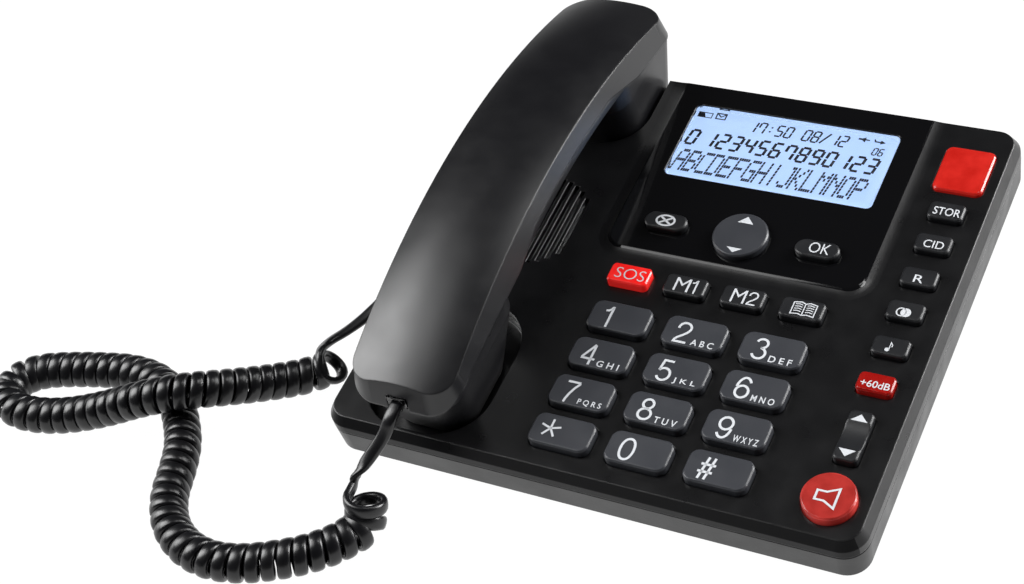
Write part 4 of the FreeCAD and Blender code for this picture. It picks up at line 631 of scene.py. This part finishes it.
def function_legends():
    """Legends of the keys round the dial: key, shape and box."""
    marks = (
        ("key_sos", glyphs("SOS", -0.012), (-39.2, 43.5, -27.6, 48.3)),
        ("key_memory_one", memory_sign("1"), (-15.7, 42.9, -7.4, 48.9)),
        ("key_memory_two", memory_sign("2"), (6.2, 42.9, 15.9, 48.9)),
        ("key_phonebook", book_icon(), (28.7, 42.8, 37.6, 49.0)),
        ("key_cancel", cross_sign(), (-34.3, 70.2, -26.5, 75.8)),
        ("key_ok", glyphs("OK", -0.004), (25.5, 70.9, 33.3, 75.7)),
        ("key_up_down", triangle(1.0), (-3.9, 78.4, 2.1, 81.6)),
        ("key_up_down", triangle(-1.0), (-3.7, 64.3, 2.2, 66.5)),
        ("key_store", glyphs("STOR", 0.008), (62.4, 98.9, 72.2, 102.5)),
        ("key_caller_list", glyphs("CID", 0.004), (63.7, 83.3, 71.0, 86.8)),
        ("key_flash", glyphs("R", 0.004), (65.3, 67.1, 68.8, 70.5)),
        ("key_redial", redial_sign(), (63.9, 51.4, 69.2, 55.3)),
        ("key_ringer", note_sign(), (65.3, 35.8, 67.7, 40.2)),
        ("key_boost", glyphs("+60dB", 0.010), (61.9, 20.0, 72.2, 22.9)),
        ("key_speaker", horn_line(), (62.4, -30.3, 70.3, -21.3)),
    )
    for index, (node, shape, box) in enumerate(marks):
        print_on("mark_%s_%d" % (node, index), node, fitted(shape, box))
    rocker_marks()


# Arrows of the rocker in the deck frame, and its hollow top as the solid has it
ROCKER_LEFT, ROCKER_RIGHT, ROCKER_BASE, ROCKER_TIP = 63.9, 69.8, (5.3, -6.4), (8.1, -9.3)
ROCKER_DEEP, SADDLE_DEPTH = 20.6, 1.5
SADDLE_RADIUS = ROCKER_DEEP / 1.8


def saddle(off, top):
    """Level of the rocker's hollow top at a distance from its middle."""
    centre = top - SADDLE_DEPTH + SADDLE_RADIUS
    inside = SADDLE_RADIUS ** 2 - off ** 2
    return min(top, centre - math.sqrt(inside)) if inside > 0 else top


def rocker_marks():
    """Arrows near the ends of the rocker's saddle, lying on its slope."""
    top = deck_box("key_volume")[1][2]
    v = middle("key_volume")[1]
    for name, base, tip in zip(("up", "down"), ROCKER_BASE, ROCKER_TIP):
        spots = [(ROCKER_LEFT, base), (ROCKER_RIGHT, base),
                 ((ROCKER_LEFT + ROCKER_RIGHT) / 2, tip)]
        points = [(x, y, saddle(y - v, top) + LIFT) for x, y in spots]
        add_mesh("mark_volume_" + name, to_world(points), [(0, 1, 2)], LEGEND, "key_volume")


# Display characters

SEGMENTS = {"0": "abcdef", "1": "bc", "2": "abged", "3": "abgcd", "4": "fgbc", "5": "afgcd",
            "6": "afgedc", "7": "fabc", "8": "abcdefg", "9": "abcdfg", "/": "/", " ": "",
            ":": ":"}
DOTS = {
    "A": ".###. #...# #...# ##### #...# #...# #...#",
    "B": "####. #...# #...# ####. #...# #...# ####.",
    "C": ".#### #.... #.... #.... #.... #.... .####",
    "D": "####. #...# #...# #...# #...# #...# ####.",
    "E": "##### #.... #.... ####. #.... #.... #####",
    "F": "##### #.... #.... ####. #.... #.... #....",
    "G": ".#### #.... #.... #.### #...# #...# .####",
    "H": "#...# #...# #...# ##### #...# #...# #...#",
    "I": "..#.. ..#.. ..#.. ..#.. ..#.. ..#.. ..#..",
    "J": "...## ....# ....# ....# ....# #...# .###.",
    "K": "#...# #..#. #.#.. ##... #.#.. #..#. #...#",
    "L": "#.... #.... #.... #.... #.... #.... #####",
    "M": "#...# ##.## #.#.# #...# #...# #...# #...#",
    "N": "#...# ##..# #.#.# #..## #...# #...# #...#",
    "O": ".###. #...# #...# #...# #...# #...# .###.",
    "P": "####. #...# #...# ####. #.... #.... #....",
}
# Sideways lean over height, gap between segments over stroke, levels of a colon over height
LEAN, SEGMENT_GAP, COLON_LEVELS = 0.16, 0.2, (0.3, 0.7)
# A dot's place and size as shares of its cell
DOT_LEFT, DOT_LOW, DOT_WIDE, DOT_HIGH = 0.04, 0.06, 0.92, 0.88
DOT_COLUMNS, DOT_ROWS = 5, 7


def leaning(line, u, v):
    return [(u + x + LEAN * y, v + y) for x, y in line]


def segment_digit(sign, u, v, wide, high, stroke):
    """Seven-segment character as slanted strokes."""
    gap, half = stroke * SEGMENT_GAP, high / 2
    ends = {"a": ((gap, high), (wide - gap, high)),
            "g": ((gap, half), (wide - gap, half)),
            "d": ((gap, 0), (wide - gap, 0)),
            "f": ((0, half + gap), (0, high - gap)),
            "b": ((wide, half + gap), (wide, high - gap)),
            "e": ((0, gap), (0, half - gap)),
            "c": ((wide, gap), (wide, half - gap)),
            "/": ((0, 0), (wide, high))}
    lines = []
    for part in SEGMENTS[sign]:
        if part == ":":
            left, right = wide / 2 - stroke / 2, wide / 2 + stroke / 2
            lines += [((left, high * y), (right, high * y)) for y in COLON_LEVELS]
        else:
            lines.append(ends[part])
    return [ribbon(leaning(line, u, v), stroke) for line in lines]


def segment_row(signs, left, low, step, wide, high, stroke):
    shapes = []
    for index, sign in enumerate(signs):
        shapes += segment_digit(sign, left + step * index, low, wide, high, stroke)
    return shapes


def dot_character(sign, u, v, wide, high):
    """Character of a dot grid five wide and seven high."""
    shapes = []
    step_u, step_v = wide / DOT_COLUMNS, high / DOT_ROWS
    for row, line in enumerate(DOTS[sign].split()):
        for column, mark in enumerate(line):
            if mark == "#":
                x, y = (column + DOT_LEFT) * step_u, (DOT_ROWS - 1 - row + DOT_LOW) * step_v
                right, top = x + DOT_WIDE * step_u, y + DOT_HIGH * step_v
                dot = [(x, y), (right, y), (right, top), (x, top)]
                shapes.append((leaning(dot, u, v), [(0, 1, 2, 3)]))
    return shapes


# Rows of the display: left and low side of the first character, step, width, height, stroke
CLOCK_ROW = (-19.0, 126.1, 3.62, 2.4, 5.4, 0.75)
SMALL_ROW = (30.8, 124.6, 2.3, 1.5, 3.4, 0.55)
ROW_LEFT, ROW_LOW, ROW_STEP, ROW_WIDE, ROW_HIGH, ROW_STROKE = -40.7, 115.4, 5.36, 3.25, 7.2, 1.15
# Signs of the large row, and the step at which each group begins
ROW_SIGNS = (("0", 0.0), ("1234567890", 1.34), ("123", 11.34))
GRID_LEFT, GRID_LOW, GRID_STEP, GRID_WIDE, GRID_HIGH = -41.8, 101.4, 4.72, 4.3, 11.2


def status_signs():
    """Battery, letter, arrow and horn along the display's top."""
    battery = ribbon([(-40.8, 129.8), (-35.2, 129.8), (-35.2, 132.2), (-40.8, 132.2)], 0.4, True)
    charge = ([(-40.6, 130.0), (-37.6, 130.0), (-38.6, 132.2), (-40.6, 132.2)], [(0, 1, 2, 3)])
    letter = [ribbon([(-33.4, 130.0), (-29.6, 130.0), (-29.6, 132.8), (-33.4, 132.8)], 0.55, True),
              ribbon([(-33.4, 132.8), (-31.5, 131.1), (-29.6, 132.8)], 0.5)]
    arrow = [ribbon([(30.0, 132.3), (30.4, 131.2), (33.0, 131.2)], 0.6),
             ([(32.4, 130.2), (34.4, 131.2), (32.4, 132.2)], [(0, 1, 2)])]
    horn = [([(23.8, 131.0), (25.2, 131.0), (26.6, 130.0), (26.6, 132.6), (25.2, 131.8),
              (23.8, 131.8)], [(0, 1, 2, 3, 4, 5)]), ribbon([(26.6, 131.4), (28.2, 131.4)], 0.6)]
    return [battery, charge] + letter + arrow + horn


def display_marks():
    """Clock and date, a row of digits, a row of letters and a few small signs."""
    shapes = segment_row("17:50 08/12", *CLOCK_ROW)
    for signs, first in ROW_SIGNS:
        shapes += segment_row(signs, ROW_LEFT + ROW_STEP * first, ROW_LOW, ROW_STEP, ROW_WIDE,
                              ROW_HIGH, ROW_STROKE)
    for index, sign in enumerate("ABCDEFGHIJKLMNOP"):
        shapes += dot_character(sign, GRID_LEFT + GRID_STEP * index, GRID_LOW, GRID_WIDE,
                                GRID_HIGH)
    shapes += segment_row("06", *SMALL_ROW) + status_signs()
    print_on("display_characters", "lcd_panel", joined(shapes), LCD_INK)


# Cord: routes given in world millimetres, within a few millimetres of the solid's

BASE_LEAD = [(-113.8, -38.0, 15.4), (-119.4, -49.0, 13.4), (-124.6, -57.0, 12.8)]
CURLY_ROUTE = [(-117.2, -65.2, 10.2), (-119.6, -63.3, 7.9), (-126.4, -70.4, 7.2),
               (-137.5, -81.0, 10.4), (-147.0, -93.0, 16.7), (-158.5, -103.5, 21.6),
               (-174.5, -109.5, 18.6), (-191.5, -113.0, 11.2), (-208.5, -118.0, 7.2),
               (-222.5, -121.5, 7.1), (-233.0, -120.5, 7.1), (-239.5, -114.5, 7.1),
               (-239.5, -106.0, 7.1), (-233.0, -99.5, 7.1), (-222.5, -95.5, 7.1),
               (-208.5, -91.5, 7.1), (-194.5, -88.7, 7.1), (-181.5, -90.5, 7.1),
               (-170.5, -97.0, 7.1), (-161.5, -106.5, 7.1), (-154.0, -116.5, 7.1),
               (-149.0, -128.0, 7.1), (-145.0, -140.0, 7.1), (-137.0, -151.5, 7.1),
               (-125.5, -159.0, 7.1), (-113.0, -161.4, 7.1), (-101.0, -159.0, 7.1),
               (-90.0, -153.5, 7.1), (-80.5, -147.4, 7.1), (-73.0, -139.8, 7.1),
               (-67.8, -131.5, 7.4), (-67.4, -126.9, 10.5), (-67.4, -125.6, 17.5)]
HANDSET_LEAD = [(-74.6, -120.2, 19.5), (-69.6, -114.8, 26.0), (-64.6, -109.0, 33.5)]
CORD_WIDE, CORD_THICK = 5.0, 2.8
SECTION_SIDES, SECTION_POWER, CURL_SIDES = 12, 0.75, 26
# Distance along the route, and the pitch or the radius of the curls there
PITCHES = ((0.0, 7.5), (10.0, 7.0), (16.0, 5.2), (110.0, 5.4), (230.0, 5.2), (300.0, 5.6),
           (400.0, 5.4))
RADII = ((0.0, 5.6), (370.0, 5.65), (385.0, 6.4), (400.0, 6.6))
# Angles at which the first curl begins and the last one ends
FIRST_TURN, LAST_TURN = math.pi + 0.35, math.pi
# How far the cord reaches into a plug, and the straight ends of the two leads
PLUG_TAB, FIRST_HOP, HEAD_HOP, TAIL_HOP, LAST_HOP = 1.4, 7.0, 5.0, 4.5, 5.5
# Wide way of the flat cord at the plugs, and the shares of each lead between which it turns
BASE_WIDE, HAND_WIDE = Vector((0, 1, 0.2)), Vector((1, 0, 0))
BASE_TWIST, HAND_TWIST = (0.4, 0.95), (0.05, 0.45)
ROUTE_STEP, LEAD_STEP = 0.5, 1.0


def smooth_line(points, step):
    """Even points along the smooth spline through a route's corners."""
    curve = bpy.data.curves.new("route", "CURVE")
    curve.dimensions = "3D"
    curve.resolution_u = 40
    spline = curve.splines.new("NURBS")
    spline.points.add(len(points) - 1)
    for point, spot in zip(spline.points, points):
        point.co = (*spot, 1)
    spline.order_u = 3
    spline.use_endpoint_u = True
    return evenly(mesh_of(curve)[0], step)


def evenly(raw, step):
    """Points at even distances of about a step along a line."""
    lengths = [0.0]
    for a, b in zip(raw, raw[1:]):
        lengths.append(lengths[-1] + (b - a).length)
    count = max(int(lengths[-1] / step), 2)
    line, spot = [], 0
    for index in range(count + 1):
        goal = lengths[-1] * index / count
        while spot < len(raw) - 2 and lengths[spot + 1] < goal:
            spot += 1
        share = (goal - lengths[spot]) / max(lengths[spot + 1] - lengths[spot], 1e-9)
        line.append(raw[spot].lerp(raw[spot + 1], share))
    return line


def forward(line, index):
    """Way along a line at one of its points."""
    way = line[min(index + 1, len(line) - 1)] - line[max(index - 1, 0)]
    return way.normalized()


def level_at(steps, place):
    """Value between the steps of a list of places and values."""
    for (first, low), (second, high) in zip(steps, steps[1:]):
        if place <= second:
            return low + (high - low) * (place - first) / (second - first)
    return steps[-1][1]


def turned_along(route, step):
    """Angle that the curls have turned by at each point of their route."""
    turned = [0.0]
    for index in range(1, len(route)):
        turned.append(turned[-1] + math.tau * step / level_at(PITCHES, index * step))
    return turned


def curls():
    """Centreline of the curls with the wide way of the flat cord at each point."""
    route = smooth_line([Vector(p) for p in CURLY_ROUTE], ROUTE_STEP)
    step = (route[1] - route[0]).length
    turned = turned_along(route, step)
    turns = round((turned[-1] - FIRST_TURN + LAST_TURN) / math.tau)
    whole = math.tau * turns + FIRST_TURN - LAST_TURN
    turned = [t * whole / turned[-1] for t in turned]
    points, wides, spot = [], [], 0
    count = turns * CURL_SIDES
    for index in range(count + 1):
        goal = whole * index / count
        while spot < len(route) - 2 and turned[spot + 1] < goal:
            spot += 1
        share = (goal - turned[spot]) / (turned[spot + 1] - turned[spot])
        hub = route[spot].lerp(route[spot + 1], share)
        way = forward(route, spot).lerp(forward(route, spot + 1), share).normalized()
        side = way.cross(Vector((0, 0, 1))).normalized()
        up = side.cross(way)
        radius = level_at(RADII, (spot + share) * step)
        angle = FIRST_TURN - goal
        points.append(hub + (side * math.cos(angle) - up * math.sin(angle)) * radius)
        wides.append(way)
    return points, wides


def sweep_flat(points, wides):
    """Rounded flat section along a line; wides gives its wide way at each point."""
    section = arc(0.0, 0.0, CORD_WIDE / 2, CORD_THICK / 2, 0, 360, SECTION_SIDES,
                  SECTION_POWER)[:-1]
    rings, faces = [], []
    for index, point in enumerate(points):
        way = forward(points, index)
        wide = (wides[index] - way * wides[index].dot(way)).normalized()
        thick = way.cross(wide)
        rings += [point + wide * a + thick * b for a, b in section]
    size = len(section)
    for index in range(len(points) - 1):
        for side in range(size):
            a, b = index * size + side, index * size + (side + 1) % size
            faces.append((a, b, b + size, a + size))
    faces.append(tuple(reversed(range(size))))
    faces.append(tuple(range(len(rings) - size, len(rings))))
    return rings, faces


def blend_wides(first, last, count, begin, end):
    """Wide way that turns from one to another between two shares of the length."""
    wides = []
    for index in range(count):
        share = (index / max(count - 1, 1) - begin) / (end - begin)
        wides.append(first.lerp(last, min(max(share, 0.0), 1.0)).normalized())
    return wides


def plug_places():
    """Ends of the cord in the two plugs, and the way into the handset's."""
    low, high = [Vector(c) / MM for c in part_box("base_plug")]
    base = Vector((low.x + PLUG_TAB, (low.y + high.y) / 2, (low.z + high.z) / 2))
    low, high = deck_box("handset_plug")
    hand = DECK @ Vector(((low[0] + high[0]) / 2, low[1] + PLUG_TAB, (low[2] + high[2]) / 2))
    return base, hand, DECK.to_3x3() @ Vector((0, 1, 0))


def build_cord():
    """Centreline in millimetres, then points in metres and faces, from plug to plug."""
    coil, coil_wides = curls()
    base, hand, into = plug_places()
    head, tail = forward(coil, 0) * -1, forward(coil, len(coil) - 1)
    spots = [base, base + Vector((-FIRST_HOP, 0, 0))] + [Vector(p) for p in BASE_LEAD]
    first = smooth_line(spots + [coil[0] + head * HEAD_HOP, coil[0]], LEAD_STEP)
    spots = [coil[-1], coil[-1] + tail * TAIL_HOP] + [Vector(p) for p in HANDSET_LEAD]
    last = smooth_line(spots + [hand - into * LAST_HOP, hand], LEAD_STEP)
    points = first[:-1] + coil + last[1:]
    wides = (blend_wides(BASE_WIDE.normalized(), coil_wides[0], len(first) - 1, *BASE_TWIST)
             + coil_wides + blend_wides(coil_wides[-1], HAND_WIDE, len(last) - 1, *HAND_TWIST))
    rings, faces = sweep_flat(points, wides)
    return points, [spot * MM for spot in rings], faces


def lay_cord():
    """The cord in one piece, in place of the solid's own cord nodes, which it hides."""
    points, rings, faces = build_cord()
    piece = add_mesh("curly_handset_cord", rings, faces, CORD_BLACK, None, smooth=True)
    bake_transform(piece)
    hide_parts("base_lead", "curly_cord", "handset_lead")


# Stage: a white floor that glows, as the photograph's background is plain white

FLOOR_REACH, FLOOR_GLOW, FLOOR_GREY, WORLD_GLOW = 30.0, 1.0, 0.03, 0.03


def stage():
    floor_material, _, shader = new_material("pale_floor")
    shader.inputs["Base Color"].default_value = (FLOOR_GREY, FLOOR_GREY, FLOOR_GREY, 1)
    shader.inputs["Roughness"].default_value = 0.9
    shader.inputs["Specular IOR Level"].default_value = 0.0
    shader.inputs["Emission Color"].default_value = (1, 1, 1, 1)
    shader.inputs["Emission Strength"].default_value = FLOOR_GLOW
    reach = FLOOR_REACH
    corners = [(-reach, -reach, 0), (reach, -reach, 0), (reach, reach, 0), (-reach, reach, 0)]
    floor = add_mesh("floor", corners, [(0, 1, 2, 3)], floor_material, None)
    world = bpy.data.worlds.new("studio")
    scene.world = world
    world.use_nodes = True
    back = world.node_tree.nodes["Background"]
    back.inputs["Color"].default_value = (1, 1, 1, 1)
    back.inputs["Strength"].default_value = WORLD_GLOW
    scene.view_settings.view_transform = "Standard"


# Lamps: name, place and side in metres, power in watts
LAMPS = (
    ("overhead_left", (-0.6, -0.3, 1.3), 0.6, 4.0),
    ("left_high", (-1.05, -0.28, 0.9), 0.8, 20.0),
    ("left_low", (-1.5, -0.2, 0.4), 0.8, 8.0),
    ("right_back", (1.2, 1.1, 0.65), 0.8, 36.0),
    ("right_back_high", (0.85, 0.9, 1.0), 0.9, 13.0),
    ("right_rim", (1.35, 0.6, 0.25), 0.5, 4.0),
    ("top_line", (0.25, 0.38, 1.32), 0.3, 2.3),
)
LAMP_TARGET = Vector((0, 0, 0.04))


def lights():
    for name, place, side, power in LAMPS:
        light = bpy.data.lights.new(name, "AREA")
        light.shape = "RECTANGLE"
        light.size, light.size_y = side, side
        light.energy = power
        lamp = bpy.data.objects.new(name, light)
        scene.collection.objects.link(lamp)
        lamp.location = place
        way = LAMP_TARGET - Vector(place)
        lamp.rotation_euler = way.to_track_quat("-Z", "Y").to_euler()
        lamp.visible_camera = False


# Camera solved from the photograph: place in millimetres, its right and up ways, focal length
CAMERA_PLACE = Vector((265.81, -490.79, 518.85))
CAMERA_RIGHT = Vector((0.88258, 0.44040, -0.16463))
CAMERA_UP = Vector((-0.18614, 0.64883, 0.73782))
FOCAL_PIXELS, PHOTO_WIDE, SENSOR = 2024.2, 1024, 36.0


def camera():
    data = bpy.data.cameras.new("camera")
    data.sensor_width = SENSOR
    data.lens = FOCAL_PIXELS / PHOTO_WIDE * SENSOR
    data.clip_start, data.clip_end = 0.01, 50
    eye = bpy.data.objects.new("camera", data)
    scene.collection.objects.link(eye)
    right, up = CAMERA_RIGHT.normalized(), CAMERA_UP.normalized()
    turn = Matrix((right, up, right.cross(up))).transposed().to_4x4()
    eye.matrix_world = Matrix.Translation(CAMERA_PLACE * MM) @ turn
    scene.camera = eye


finish_nodes()
dial_legends()
function_legends()
display_marks()
lay_cord()
stage()
lights()
camera()
